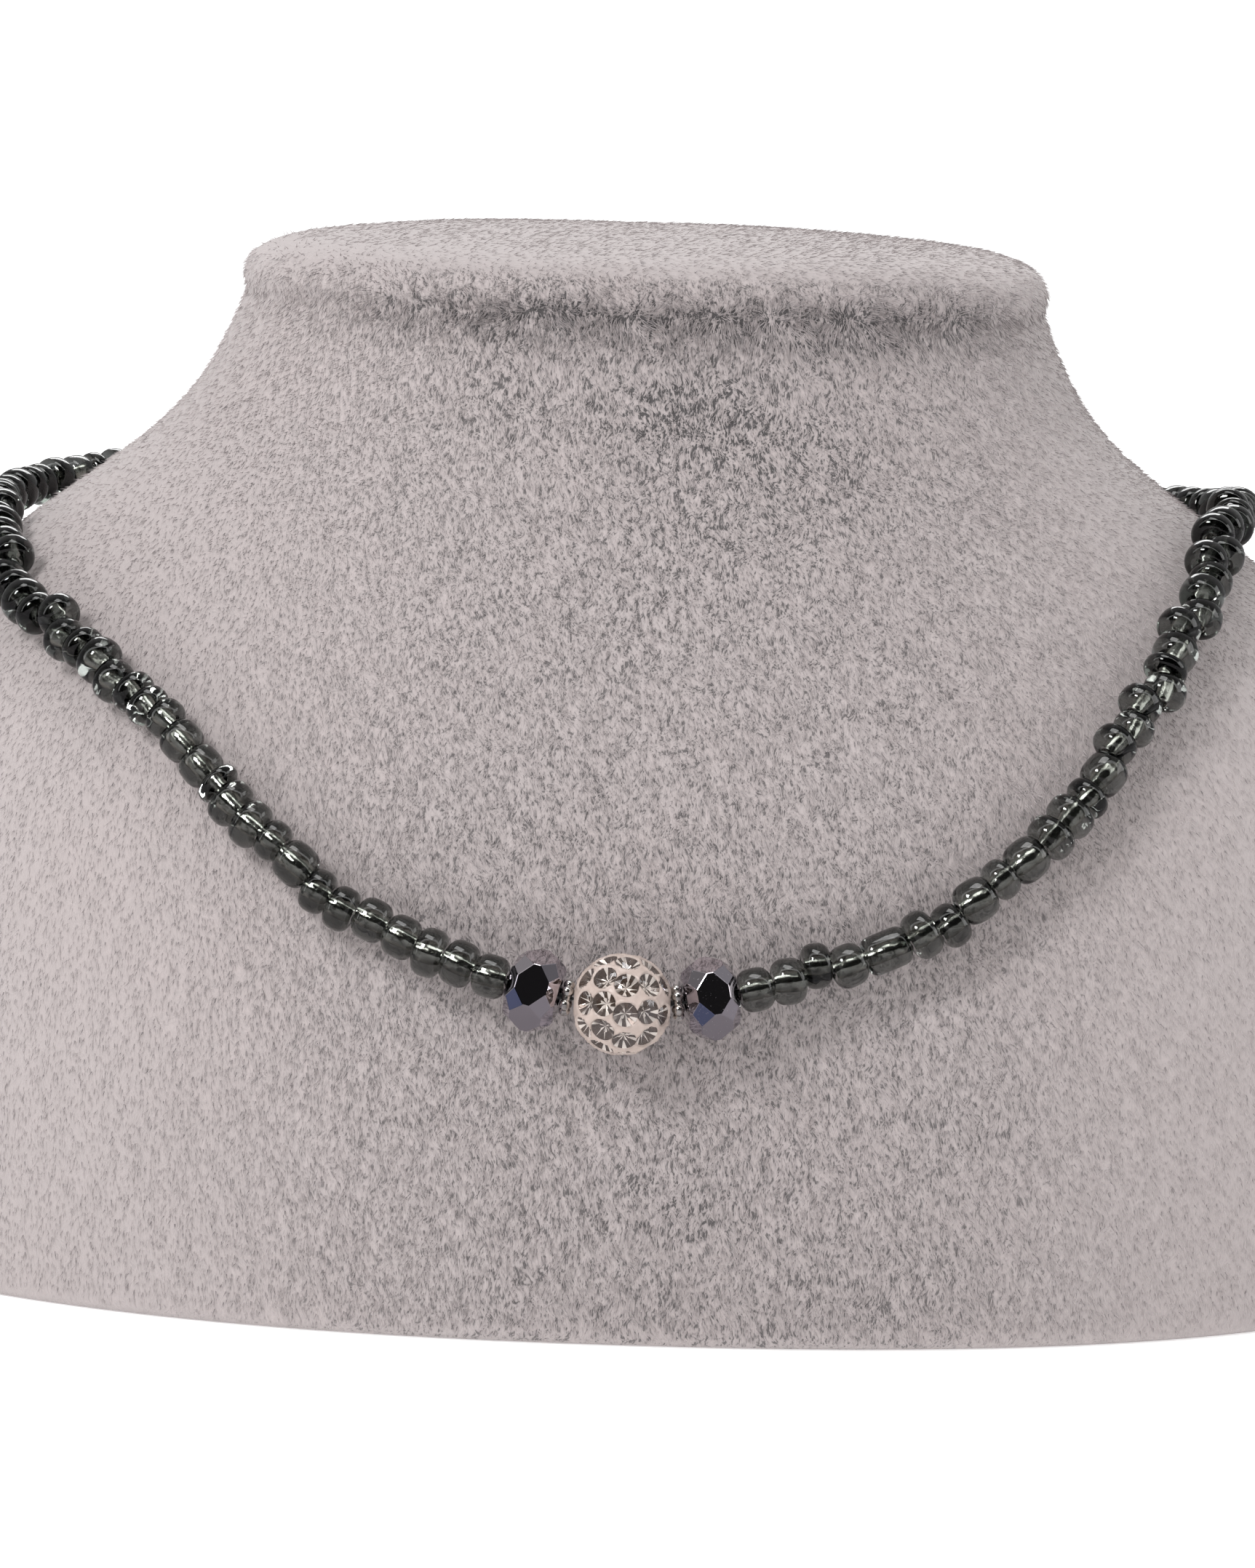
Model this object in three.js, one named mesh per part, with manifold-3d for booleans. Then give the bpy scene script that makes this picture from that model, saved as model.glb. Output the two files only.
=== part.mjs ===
// Beaded choker necklace, worn by a low padded neck form.
// Millimetres, +Z up. The form's front faces -Y, and the origin is on its flat foot, under the
// middle of its neck.
import * as THREE from 'three';
import { mergeVertices } from 'three/addons/utils/BufferGeometryUtils.js';
import Module from 'manifold-3d';

// Neck form: sizes of the padded body, its top pad and the seam between them
const FORM = {
  seamHeight: 97.8,
  padHeight: 7.9,
  seamDepth: 0.5,
  neckHalfWidth: 41.9,
  neckFront: 30,
  neckBack: 30,
  footHalfWidth: 90,
  footFront: 57,
  footBack: 43,
  footRound: 1.5,
};
const FORM_SQUARENESS = 2.25;
const FORM_SIDES = 44;
const FORM_ROWS = 19;

// Pavé ball, its stones and the drilled hole
const BALL = { diameter: 10, flatToFlat: 9.3, hole: 1.7, sides: 14, rows: 10 };
const STONE = { diameter: 2.4, crown: 0.3, depth: 0.6, table: 0.62, base: 0.85, sides: 8 };

// Faceted crystals and granulated spacers beside the ball
const CRYSTAL = { diameter: 8.2, thickness: 5, hole: 1.7, facets: 6, turn: -16, slope: 50, band: 2.6 };
const SPACER = { diameter: 3.6, thickness: 1.1, ring: 0.8, hole: 1.7, grain: 1.1, grains: 6, sides: 16 };
const DRILL_SIDES = 10;

// Glass beads, the thread and the clasp at the nape
const STRING = { seatDiameter: 5, neck: 2.3, sides: 10 };
const THREAD = { diameter: 0.7, sides: 8, steps: 14 };
const CLASP = { diameter: 4.4, collar: 2.8, collarLength: 1.6, length: 12, sides: 12 };

// Clearances: on the plush, between strung pieces, and where a string ends
const REST_GAP = 0.4;
const STRUNG_GAP = 0.15;
const END_GAP = 0.3;

// Form body, foot to seam: level as a share of the seam's height, and how much of the
// flare from neck to foot the flanks and the front and back faces have there
const FORM_PROFILE = [
  { level: 0.000, flank: 1.000, face: 1.000 },
  { level: 0.180, flank: 1.000, face: 1.000 },
  { level: 0.320, flank: 0.970, face: 0.940 },
  { level: 0.445, flank: 0.917, face: 0.850 },
  { level: 0.547, flank: 0.823, face: 0.730 },
  { level: 0.630, flank: 0.709, face: 0.600 },
  { level: 0.697, flank: 0.584, face: 0.475 },
  { level: 0.757, flank: 0.443, face: 0.355 },
  { level: 0.813, flank: 0.289, face: 0.240 },
  { level: 0.857, flank: 0.177, face: 0.155 },
  { level: 0.907, flank: 0.089, face: 0.080 },
  { level: 0.972, flank: 0.020, face: 0.017 },
  { level: 1.000, flank: 0.000, face: 0.000 },
];

// Top pad, seam to crown: rise as a share of the pad's height, spread as a share of the neck
const PAD_PROFILE = [
  { rise: 0.12, spread: 1.006 },
  { rise: 0.32, spread: 1.006 },
  { rise: 0.52, spread: 0.985 },
  { rise: 0.68, spread: 0.940 },
  { rise: 0.80, spread: 0.860 },
  { rise: 0.90, spread: 0.690 },
  { rise: 0.97, spread: 0.420 },
];

// Route of the necklace round the form: turn in degrees from the front, negative to the left,
// and drop below the seam. The points are chosen, as a cord's are.
const ROUTE = [
  { turn: -180, drop: 21.0 },
  { turn: -154, drop: 21.8 },
  { turn: -128, drop: 23.0 },
  { turn: -104, drop: 24.7 },
  { turn: -86, drop: 25.3 },
  { turn: -70, drop: 26.7 },
  { turn: -55, drop: 31.3 },
  { turn: -43, drop: 34.7 },
  { turn: -32, drop: 40.4 },
  { turn: -22, drop: 49.7 },
  { turn: -14, drop: 56.8 },
  { turn: -7, drop: 61.4 },
  { turn: 0, drop: 63.8 },
  { turn: 7, drop: 61.9 },
  { turn: 14, drop: 58.5 },
  { turn: 22, drop: 52.2 },
  { turn: 32, drop: 42.4 },
  { turn: 43, drop: 33.0 },
  { turn: 55, drop: 26.7 },
  { turn: 70, drop: 22.4 },
  { turn: 86, drop: 21.9 },
  { turn: 104, drop: 23.0 },
  { turn: 128, drop: 24.0 },
  { turn: 154, drop: 22.8 },
  { turn: 180, drop: 21.0 },
];
const ROUTE_STEP = 0.25;

// How far the thread runs from the plush at each turn from the front, by what rests there
const STAND_OFF = [
  { turn: 0, radius: BALL.diameter / 2 },
  { turn: 4.5, radius: CRYSTAL.diameter / 2 + REST_GAP },
  { turn: 9, radius: (CRYSTAL.diameter + 2 * STRING.seatDiameter) / 6 + REST_GAP },
  { turn: 15, radius: STRING.seatDiameter / 2 },
  { turn: 180, radius: STRING.seatDiameter / 2 },
];

// Rings of stones round the hole of the ball: place along the hole as a share of the radius,
// stones in the ring, turn of the first one from the front, size as a share of the stone
const STONE_RINGS = [
  { along: -0.76, count: 7, turn: 1, size: 0.95 },
  { along: -0.38, count: 10, turn: 1, size: 1.0 },
  { along: 0.08, count: 10, turn: -11, size: 1.0 },
  { along: 0.55, count: 9, turn: -8, size: 1.0 },
  { along: 0.85, count: 5, turn: -19, size: 0.85 },
];

// Kinds of bead: shoulder is the length of its rounded end, across its shift towards the neck,
// lean its tilt in degrees as it lies on the form
const BEADS = {
  r: { diameter: 4.3, length: 3.4, shoulder: 0.8, across: 0, lean: 3 },
  w: { diameter: 4.6, length: 3.3, shoulder: 0.8, across: 0.1, lean: -4 },
  W: { diameter: 4.9, length: 3.0, shoulder: 0.8, across: -0.1, lean: 5 },
  l: { diameter: 4.4, length: 3.9, shoulder: 0.8, across: 0, lean: -3 },
  s: { diameter: 4.2, length: 2.7, shoulder: 0.7, across: 0.2, lean: 6 },
  f: { diameter: 4.5, length: 2.3, shoulder: 0.6, across: -0.2, lean: -6 },
  t: { diameter: 4.5, length: 1.8, shoulder: 0.5, across: 0.2, lean: 4 },
  d: { diameter: 4.5, length: 2.9, shoulder: 0.8, across: -0.7, lean: 7 },
  u: { diameter: 4.5, length: 2.8, shoulder: 0.8, across: 0.9, lean: -7 },
  T: { diameter: 4.0, length: 4.7, shoulder: 0.35, across: 0, lean: 0 },
};

// Order of the beads from the crystals outwards: as seen in front, then plain to the clasp
const BEAD_ORDER = {
  left: { seen: 'rwWrrddlsWWtrrsffdWfdufWfdusfWfudfsf', hidden: 'rwsfWrfs' },
  right: { seen: 'rwurTWdlslWWflusudtwudwfuduwdfusfWfd', hidden: 'wrfsWfrs' },
};

// Finishes
const FINISH = {
  plush: new THREE.MeshStandardMaterial({ color: '#b5adab', roughness: 0.95, metalness: 0 }),
  glass: new THREE.MeshStandardMaterial({ color: '#3b423d', roughness: 0.12, metalness: 0.25 }),
  mirror: new THREE.MeshStandardMaterial({ color: '#3d3f47', roughness: 0.08, metalness: 0.95 }),
  pave: new THREE.MeshStandardMaterial({ color: '#dccbc2', roughness: 0.45, metalness: 0 }),
  silver: new THREE.MeshStandardMaterial({ color: '#b9b4ab', roughness: 0.25, metalness: 1 }),
  thread: new THREE.MeshStandardMaterial({ color: '#2c2c2d', roughness: 0.7, metalness: 0 }),
};

const wasm = await Module();
wasm.setup();

// Smooth value of a table's column at a key between its rows
function readTable(rows, keyName, column, key) {
  let at = 0;
  while (at < rows.length - 2 && key > rows[at + 1][keyName]) at += 1;
  const slopeAt = (index) => {
    const before = rows[Math.max(index - 1, 0)];
    const after = rows[Math.min(index + 1, rows.length - 1)];
    return (after[column] - before[column]) / (after[keyName] - before[keyName]);
  };
  const low = rows[at];
  const high = rows[at + 1];
  const span = high[keyName] - low[keyName];
  const t = (key - low[keyName]) / span;
  const square = t * t;
  const cube = square * t;
  return (2 * cube - 3 * square + 1) * low[column]
    + (cube - 2 * square + t) * span * slopeAt(at)
    + (3 * square - 2 * cube) * high[column]
    + (cube - square) * span * slopeAt(at + 1);
}

// Point of an oval ring whose front, back and sides have their own depths
function ovalPoint(turn, height, halfWidth, front, back) {
  const side = Math.sin(turn);
  const face = Math.cos(turn);
  const power = 2 / FORM_SQUARENESS;
  const depth = face > 0 ? front : back;
  return new THREE.Vector3(
    Math.sign(side) * halfWidth * Math.abs(side) ** power,
    -Math.sign(face) * depth * Math.abs(face) ** power,
    height,
  );
}

// Point on the form's body, by turn from the front in radians and by height
function formPoint(turn, height) {
  const share = height / FORM.seamHeight;
  const flank = readTable(FORM_PROFILE, 'level', 'flank', share);
  const face = readTable(FORM_PROFILE, 'level', 'face', share);
  return ovalPoint(
    turn,
    height,
    FORM.neckHalfWidth + (FORM.footHalfWidth - FORM.neckHalfWidth) * flank,
    FORM.neckFront + (FORM.footFront - FORM.neckFront) * face,
    FORM.neckBack + (FORM.footBack - FORM.neckBack) * face,
  );
}

// Outward direction of the form's body at a turn and a height
function formNormal(turn, height) {
  const turnStep = 0.002;
  const heightStep = FORM.seamHeight / 2000;
  const along = formPoint(turn + turnStep, height).sub(formPoint(turn - turnStep, height));
  const upward = formPoint(turn, height + heightStep).sub(formPoint(turn, height - heightStep));
  return along.cross(upward).normalize();
}

// Closed body through rings of equally many points, each running anticlockwise about the way on
function loft(rings, start, end) {
  const sides = rings[0].length;
  const points = [start, ...rings.flat(), end];
  const last = points.length - 1;
  const index = [];
  const corner = (ring, side) => 1 + ring * sides + (side % sides);
  for (let side = 0; side < sides; side += 1) {
    index.push(0, corner(0, side + 1), corner(0, side));
    index.push(last, corner(rings.length - 1, side), corner(rings.length - 1, side + 1));
    for (let ring = 0; ring < rings.length - 1; ring += 1) {
      index.push(corner(ring, side), corner(ring, side + 1), corner(ring + 1, side + 1));
      index.push(corner(ring, side), corner(ring + 1, side + 1), corner(ring + 1, side));
    }
  }
  const geometry = new THREE.BufferGeometry().setFromPoints(points);
  geometry.setIndex(index);
  return geometry;
}

// Geometry to solid and back, for the pieces that are joined or cut
function toSolid(geometry) {
  const bare = geometry.clone();
  bare.deleteAttribute('normal');
  bare.deleteAttribute('uv');
  const merged = mergeVertices(bare);
  return new wasm.Manifold(new wasm.Mesh({
    numProp: 3,
    vertProperties: new Float32Array(merged.attributes.position.array),
    triVerts: new Uint32Array(merged.index.array),
  }));
}

function toGeometry(solid) {
  const mesh = solid.getMesh();
  const geometry = new THREE.BufferGeometry();
  geometry.setAttribute('position', new THREE.BufferAttribute(new Float32Array(mesh.vertProperties), 3));
  geometry.setIndex(new THREE.BufferAttribute(new Uint32Array(mesh.triVerts), 1));
  return geometry;
}

// Hole along X through a strung piece
function drilled(solid, length, diameter) {
  const drill = new THREE.CylinderGeometry(diameter / 2, diameter / 2, 2 * length, DRILL_SIDES);
  drill.rotateZ(Math.PI / 2);
  return solid.subtract(toSolid(drill));
}

// Route as a table of places, from the nape round the left, the front and the right
function routePlace(degrees) {
  const turn = THREE.MathUtils.degToRad(degrees);
  const height = FORM.seamHeight - readTable(ROUTE, 'turn', 'drop', degrees);
  const standOff = readTable(STAND_OFF, 'turn', 'radius', Math.abs(degrees)) + REST_GAP;
  const normal = formNormal(turn, height);
  return { point: formPoint(turn, height).addScaledVector(normal, standOff), normal };
}

const routeTurns = [];
const routeLengths = [0];
for (let degrees = -180; degrees <= 180; degrees += ROUTE_STEP) routeTurns.push(degrees);
for (let index = 1; index < routeTurns.length; index += 1) {
  const step = routePlace(routeTurns[index]).point.distanceTo(routePlace(routeTurns[index - 1]).point);
  routeLengths.push(routeLengths[index - 1] + step);
}
const frontLength = routeLengths[routeTurns.indexOf(0)];
const loopLength = routeLengths[routeLengths.length - 1];

// Place on the route at a distance from the ball, negative to the left, with its directions:
// onward runs to the right, outward leaves the form, upward leads to the neck
function placeAt(distance) {
  const target = frontLength + distance;
  let index = routeLengths.findIndex((length) => length >= target);
  if (index < 1) index = target < frontLength ? 1 : routeLengths.length - 1;
  const span = routeLengths[index] - routeLengths[index - 1];
  const share = (target - routeLengths[index - 1]) / span;
  const degrees = routeTurns[index - 1] + share * ROUTE_STEP;
  const before = routePlace(Math.max(degrees - ROUTE_STEP, -180)).point;
  const after = routePlace(Math.min(degrees + ROUTE_STEP, 180)).point;
  const place = routePlace(degrees);
  const onward = after.sub(before).normalize();
  const outward = place.normal.addScaledVector(onward, -place.normal.dot(onward)).normalize();
  const upward = outward.clone().cross(onward);
  return { point: place.point, onward, outward, upward };
}

// Mesh of a strung piece, whose own X runs along the thread and whose -Y faces out
function strungMesh(name, geometry, finish, distance) {
  const place = placeAt(distance);
  const mesh = new THREE.Mesh(geometry, finish);
  const basis = new THREE.Matrix4().makeBasis(place.onward, place.outward.clone().negate(), place.upward);
  mesh.name = name;
  mesh.position.copy(place.point);
  mesh.quaternion.setFromRotationMatrix(basis);
  return mesh;
}

// Neck form: body rows from the foot to the seam, then the top pad
function neckFormGeometry() {
  const turns = [];
  for (let side = 0; side < FORM_SIDES; side += 1) turns.push((side / FORM_SIDES) * 2 * Math.PI);
  const rings = [];
  const footShare = 1 - FORM.footRound / FORM.footHalfWidth;
  rings.push(turns.map((turn) => formPoint(turn, 0).multiplyScalar(footShare)));
  for (let row = 0; row < FORM_ROWS; row += 1) {
    const height = FORM.footRound + (row / FORM_ROWS) * (FORM.seamHeight - FORM.footRound);
    rings.push(turns.map((turn) => formPoint(turn, height)));
  }
  const padRing = (height, spread) => turns.map((turn) => ovalPoint(
    turn,
    height,
    FORM.neckHalfWidth * spread,
    FORM.neckFront * spread,
    FORM.neckBack * spread,
  ));
  rings.push(padRing(FORM.seamHeight, 1 - FORM.seamDepth / FORM.neckFront));
  PAD_PROFILE.forEach(({ rise, spread }) => {
    rings.push(padRing(FORM.seamHeight + rise * FORM.padHeight, spread));
  });
  const crown = new THREE.Vector3(0, 0, FORM.seamHeight + FORM.padHeight);
  return loft(rings, new THREE.Vector3(0, 0, 0), crown);
}

// Round cut stone with a table and eight facets, its girdle at the origin and its table up Y
function stoneGeometry(size) {
  const radius = (STONE.diameter / 2) * size;
  const profile = [
    new THREE.Vector2(0, -STONE.depth),
    new THREE.Vector2(radius * STONE.base, -STONE.depth),
    new THREE.Vector2(radius, 0),
    new THREE.Vector2(radius * STONE.table, STONE.crown),
    new THREE.Vector2(0, STONE.crown),
  ];
  return new THREE.LatheGeometry(profile, STONE.sides);
}

// Clay ball with its stones set in rings round the hole
function paveBallGeometry() {
  const clayRadius = BALL.diameter / 2 - STONE.crown;
  const clay = new THREE.SphereGeometry(clayRadius, BALL.sides, BALL.rows);
  clay.rotateZ(Math.PI / 2);
  let ball = toSolid(clay);
  STONE_RINGS.forEach(({ along, count, turn, size }) => {
    const spread = Math.sqrt(1 - along * along);
    for (let index = 0; index < count; index += 1) {
      const angle = THREE.MathUtils.degToRad(turn + (index * 360) / count);
      const way = new THREE.Vector3(along, -spread * Math.cos(angle), spread * Math.sin(angle));
      const stone = stoneGeometry(size);
      const pose = new THREE.Quaternion().setFromUnitVectors(new THREE.Vector3(0, 1, 0), way);
      stone.applyQuaternion(pose);
      stone.translate(way.x * clayRadius, way.y * clayRadius, way.z * clayRadius);
      ball = ball.add(toSolid(stone));
    }
  });
  ball = ball.trimByPlane([1, 0, 0], -BALL.flatToFlat / 2);
  ball = ball.trimByPlane([-1, 0, 0], -BALL.flatToFlat / 2);
  return toGeometry(drilled(ball, BALL.diameter, BALL.hole));
}

// Faceted crystal: a middle band of facets, the front one turned up or down by some degrees,
// and a staggered row sloping to each flat end
function crystalGeometry() {
  const blank = 2 * CRYSTAL.diameter;
  const step = (2 * Math.PI) / CRYSTAL.facets;
  const turn = THREE.MathUtils.degToRad(CRYSTAL.turn);
  const slope = THREE.MathUtils.degToRad(CRYSTAL.slope);
  const bandReach = (CRYSTAL.diameter / 2) * Math.cos(step / 2);
  const slopeReach = bandReach * Math.cos(step / 2) * Math.cos(slope) + (CRYSTAL.band / 2) * Math.sin(slope);
  let crystal = toSolid(new THREE.BoxGeometry(CRYSTAL.thickness, blank, blank));
  for (let facet = 0; facet < CRYSTAL.facets; facet += 1) {
    const band = facet * step - turn;
    const end = (facet + 0.5) * step - turn;
    crystal = crystal.trimByPlane([0, -Math.cos(band), -Math.sin(band)], -bandReach);
    [-1, 1].forEach((way) => {
      const facing = [-way * Math.sin(slope), -Math.cos(slope) * Math.cos(end), -Math.cos(slope) * Math.sin(end)];
      crystal = crystal.trimByPlane(facing, -slopeReach);
    });
  }
  return toGeometry(drilled(crystal, CRYSTAL.thickness, CRYSTAL.hole));
}

// Granulated spacer: a small ring with grains round its rim
function spacerGeometry() {
  const ringRadius = (SPACER.diameter - SPACER.grain) / 2;
  const ring = new THREE.CylinderGeometry(ringRadius, ringRadius, SPACER.ring, SPACER.sides);
  ring.rotateZ(Math.PI / 2);
  let spacer = toSolid(ring);
  for (let index = 0; index < SPACER.grains; index += 1) {
    const angle = ((index + 0.5) / SPACER.grains) * 2 * Math.PI;
    const grain = new THREE.OctahedronGeometry(SPACER.grain / 2, 1);
    grain.translate(0, ringRadius * Math.cos(angle), ringRadius * Math.sin(angle));
    spacer = spacer.add(toSolid(grain));
  }
  return toGeometry(drilled(spacer, SPACER.thickness, SPACER.hole));
}

// Beads of one side in order, enough of them to fill the string, their lengths fitted to it
function beadList(order, room) {
  const kinds = [...order.seen].map((letter) => BEADS[letter]);
  const total = () => kinds.reduce((sum, kind) => sum + kind.length, 0);
  while (total() > room) kinds.pop();
  for (let index = 0; total() + BEADS.t.length / 2 < room; index += 1) {
    kinds.push(BEADS[order.hidden[index % order.hidden.length]]);
  }
  const fit = room / total();
  return kinds.map((kind) => ({ ...kind, length: kind.length * fit }));
}

// Ring of points across a bead, square to its own axis
function beadRing(place, way, bead, along, radius) {
  const lean = THREE.MathUtils.degToRad(bead.lean);
  const axis = place.onward.clone().multiplyScalar(way).applyAxisAngle(place.outward, lean * way);
  const across = place.outward.clone().cross(axis);
  const centre = place.point.clone();
  centre.addScaledVector(place.upward, bead.across);
  centre.addScaledVector(axis, along);
  const ring = [];
  for (let side = 0; side < STRING.sides; side += 1) {
    const angle = (side / STRING.sides) * 2 * Math.PI;
    const point = centre.clone();
    point.addScaledVector(across, radius * Math.cos(angle));
    point.addScaledVector(place.outward, radius * Math.sin(angle));
    ring.push(point);
  }
  return { centre, ring };
}

// One side's beads fused with their thread into one body, from its first bead to the clasp
function beadStringGeometry(order, way, from, to) {
  const beads = beadList(order, to - from);
  const rings = [];
  const ends = [];
  let reached = from;
  beads.forEach((bead, index) => {
    const place = placeAt(way * (reached + bead.length / 2));
    const half = bead.length / 2;
    const radius = bead.diameter / 2;
    const level = { ...bead, lean: 0, across: bead.across / 2 };
    const start = beadRing(place, way, level, -half, STRING.neck / 2);
    const shoulders = [-half + bead.shoulder, half - bead.shoulder];
    rings.push(start.ring);
    shoulders.forEach((along) => rings.push(beadRing(place, way, bead, along, radius).ring));
    if (index === 0) ends.push(start.centre);
    if (index === beads.length - 1) {
      const end = beadRing(place, way, level, half, STRING.neck / 2);
      rings.push(end.ring);
      ends.push(end.centre);
    }
    reached += bead.length;
  });
  return loft(rings, ends[0], ends[1]);
}

// Thread through the ball, the spacers and the crystals
function threadGeometry(reach) {
  const points = [];
  for (let step = 0; step <= THREAD.steps; step += 1) {
    points.push(placeAt(-reach + (2 * reach * step) / THREAD.steps).point);
  }
  const section = new THREE.Shape();
  for (let side = 0; side < THREAD.sides; side += 1) {
    const angle = (side / THREAD.sides) * 2 * Math.PI;
    const x = (THREAD.diameter / 2) * Math.cos(angle);
    const y = (THREAD.diameter / 2) * Math.sin(angle);
    if (side === 0) section.moveTo(x, y);
    else section.lineTo(x, y);
  }
  section.closePath();
  const curve = new THREE.CatmullRomCurve3(points);
  return new THREE.ExtrudeGeometry(section, { steps: THREAD.steps, extrudePath: curve });
}

// Barrel clasp: a plain barrel with a collar at each end
function claspGeometry() {
  const half = CLASP.length / 2;
  const barrel = half - CLASP.collarLength;
  const profile = [
    new THREE.Vector2(0, -half),
    new THREE.Vector2(CLASP.collar / 2, -half),
    new THREE.Vector2(CLASP.collar / 2, -barrel),
    new THREE.Vector2(CLASP.diameter / 2, -barrel + CLASP.collarLength / 2),
    new THREE.Vector2(CLASP.diameter / 2, barrel - CLASP.collarLength / 2),
    new THREE.Vector2(CLASP.collar / 2, barrel),
    new THREE.Vector2(CLASP.collar / 2, half),
    new THREE.Vector2(0, half),
  ];
  return new THREE.LatheGeometry(profile, CLASP.sides).rotateZ(-Math.PI / 2);
}

// Places along the thread, measured from the middle of the ball
const spacerAt = BALL.flatToFlat / 2 + STRUNG_GAP + SPACER.thickness / 2;
const crystalAt = spacerAt + SPACER.thickness / 2 + STRUNG_GAP + CRYSTAL.thickness / 2;
const stringFrom = crystalAt + CRYSTAL.thickness / 2 + END_GAP;
const claspReach = CLASP.length / 2 + END_GAP;

const necklace = new THREE.Group();
const form = new THREE.Mesh(neckFormGeometry(), FINISH.plush);
form.name = 'neck_bust';
necklace.add(form);
necklace.add(strungMesh('pave_ball', paveBallGeometry(), FINISH.pave, 0));
[['left', -1, frontLength], ['right', 1, loopLength - frontLength]].forEach(([side, way, sideLength]) => {
  necklace.add(strungMesh(`spacer_${side}`, spacerGeometry(), FINISH.silver, way * spacerAt));
  necklace.add(strungMesh(`rondelle_${side}`, crystalGeometry(), FINISH.mirror, way * crystalAt));
  const beads = beadStringGeometry(BEAD_ORDER[side], way, stringFrom, sideLength - claspReach);
  const string = new THREE.Mesh(beads, FINISH.glass);
  string.name = `bead_string_${side}`;
  necklace.add(string);
});
const thread = new THREE.Mesh(threadGeometry(stringFrom - END_GAP), FINISH.thread);
thread.name = 'centre_thread';
necklace.add(thread);
necklace.add(strungMesh('barrel_clasp', claspGeometry(), FINISH.silver, loopLength - frontLength));

export default necklace;
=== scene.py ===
"""Looks of a beaded choker necklace on its plush neck form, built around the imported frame."""

import logging
import math
from bisect import bisect_left
from dataclasses import dataclass, field
from enum import Enum
from typing import Any, Iterable, Sequence

import bmesh
import bpy
import numpy as np
from bmesh.types import BMEdge, BMVert, BMesh
from bpy.types import ID, Material, Mesh, Node, NodeSocket, NodeTree, Object
from mathutils import Matrix, Vector, noise


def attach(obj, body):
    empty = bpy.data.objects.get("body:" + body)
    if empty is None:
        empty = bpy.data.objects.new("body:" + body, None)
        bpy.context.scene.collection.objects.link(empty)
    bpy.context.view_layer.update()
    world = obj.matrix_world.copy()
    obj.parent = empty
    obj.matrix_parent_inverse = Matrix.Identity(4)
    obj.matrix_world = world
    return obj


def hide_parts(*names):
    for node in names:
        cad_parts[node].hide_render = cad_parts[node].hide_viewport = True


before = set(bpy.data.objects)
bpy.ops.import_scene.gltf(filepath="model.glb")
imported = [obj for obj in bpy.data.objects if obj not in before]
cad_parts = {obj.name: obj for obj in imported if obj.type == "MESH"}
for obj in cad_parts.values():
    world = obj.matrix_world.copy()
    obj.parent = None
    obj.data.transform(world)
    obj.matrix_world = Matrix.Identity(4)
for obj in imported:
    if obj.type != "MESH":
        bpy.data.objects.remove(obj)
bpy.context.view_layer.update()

LOG = logging.getLogger("necklace")
MM = 0.001
BODY = "root"

# Clearances of the frame, in metres: on the plush, between strung pieces, and where a string ends
REST_GAP = 0.4 * MM
STRUNG_GAP = 0.15 * MM
END_GAP = 0.3 * MM

# Diameter of the beads where the strings rest on the form
BEAD_SEAT = 5 * MM


def table(names: str, *rows: Sequence[Any]) -> list[dict[str, Any]]:
    """Makes a table from its columns' names, with a space between, and its rows of values."""
    return [dict(zip(names.split(), row)) for row in rows]


# Form body, foot to seam: level as a share of the seam's height, and how much of the flare
# from neck to foot the flanks and the front and back faces have there
FORM_PROFILE = table(
    "level flank face",
    (0.000, 1.000, 1.000), (0.180, 1.000, 1.000), (0.320, 0.970, 0.940),
    (0.445, 0.917, 0.850), (0.547, 0.823, 0.730), (0.630, 0.709, 0.600),
    (0.697, 0.584, 0.475), (0.757, 0.443, 0.355), (0.813, 0.289, 0.240),
    (0.857, 0.177, 0.155), (0.907, 0.089, 0.080), (0.972, 0.020, 0.017),
    (1.000, 0.000, 0.000),
)

# Top pad, seam to crown: rise as a share of the pad's height, spread as a share of the neck
PAD_PROFILE = table(
    "step rise spread",
    (0, 0.00, 0.999), (1, 0.12, 1.003), (2, 0.32, 1.003),
    (3, 0.52, 0.985), (4, 0.68, 0.940), (5, 0.80, 0.860),
    (6, 0.90, 0.690), (7, 0.97, 0.420), (8, 1.00, 0.000),
)

# Route of the necklace: turn in degrees from the front, negative to the left, and drop in
# millimetres below the seam, as chosen in the frame
ROUTE = table(
    "turn drop",
    (-180, 21.0), (-154, 21.8), (-128, 23.0), (-104, 24.7), (-86, 25.3),
    (-70, 26.7), (-55, 31.3), (-43, 34.7), (-32, 40.4), (-22, 49.7),
    (-14, 56.8), (-7, 61.4), (0, 63.8), (7, 61.9), (14, 58.5),
    (22, 52.2), (32, 42.4), (43, 33.0), (55, 26.7), (70, 22.4),
    (86, 21.9), (104, 23.0), (128, 24.0), (154, 22.8), (180, 21.0),
)
ROUTE_STEP = 0.25

# Rings of stones round the hole of the ball: place along the hole as a share of the radius,
# stones in the ring, turn of the first one from the front, size as a share of the stone
STONE_RINGS = table(
    "along count turn size",
    (-0.76, 7, 1, 0.95), (-0.38, 10, 1, 1.0),
    (0.08, 10, -11, 1.0), (0.55, 9, -8, 1.0),
    (0.85, 5, -19, 0.85),
)

# Patches where the pile's colour is painted darker in front, in millimetres: to the right of the middle,
# below the seam, and size
DARK_PATCHES = table(
    "x below wide tall depth",
    (5, 8.5, 9, 4.5, 0.85), (-14, 8, 7, 4, 0.40),
    (18, 13, 9, 6, 0.40), (7, 20, 10, 8, 0.35),
    (7, 83, 7, 5, 0.40), (36, 76, 6, 5, 0.40),
    (-43, 79, 6, 5, 0.30), (30, 90, 12, 4, 0.25),
)
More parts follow.
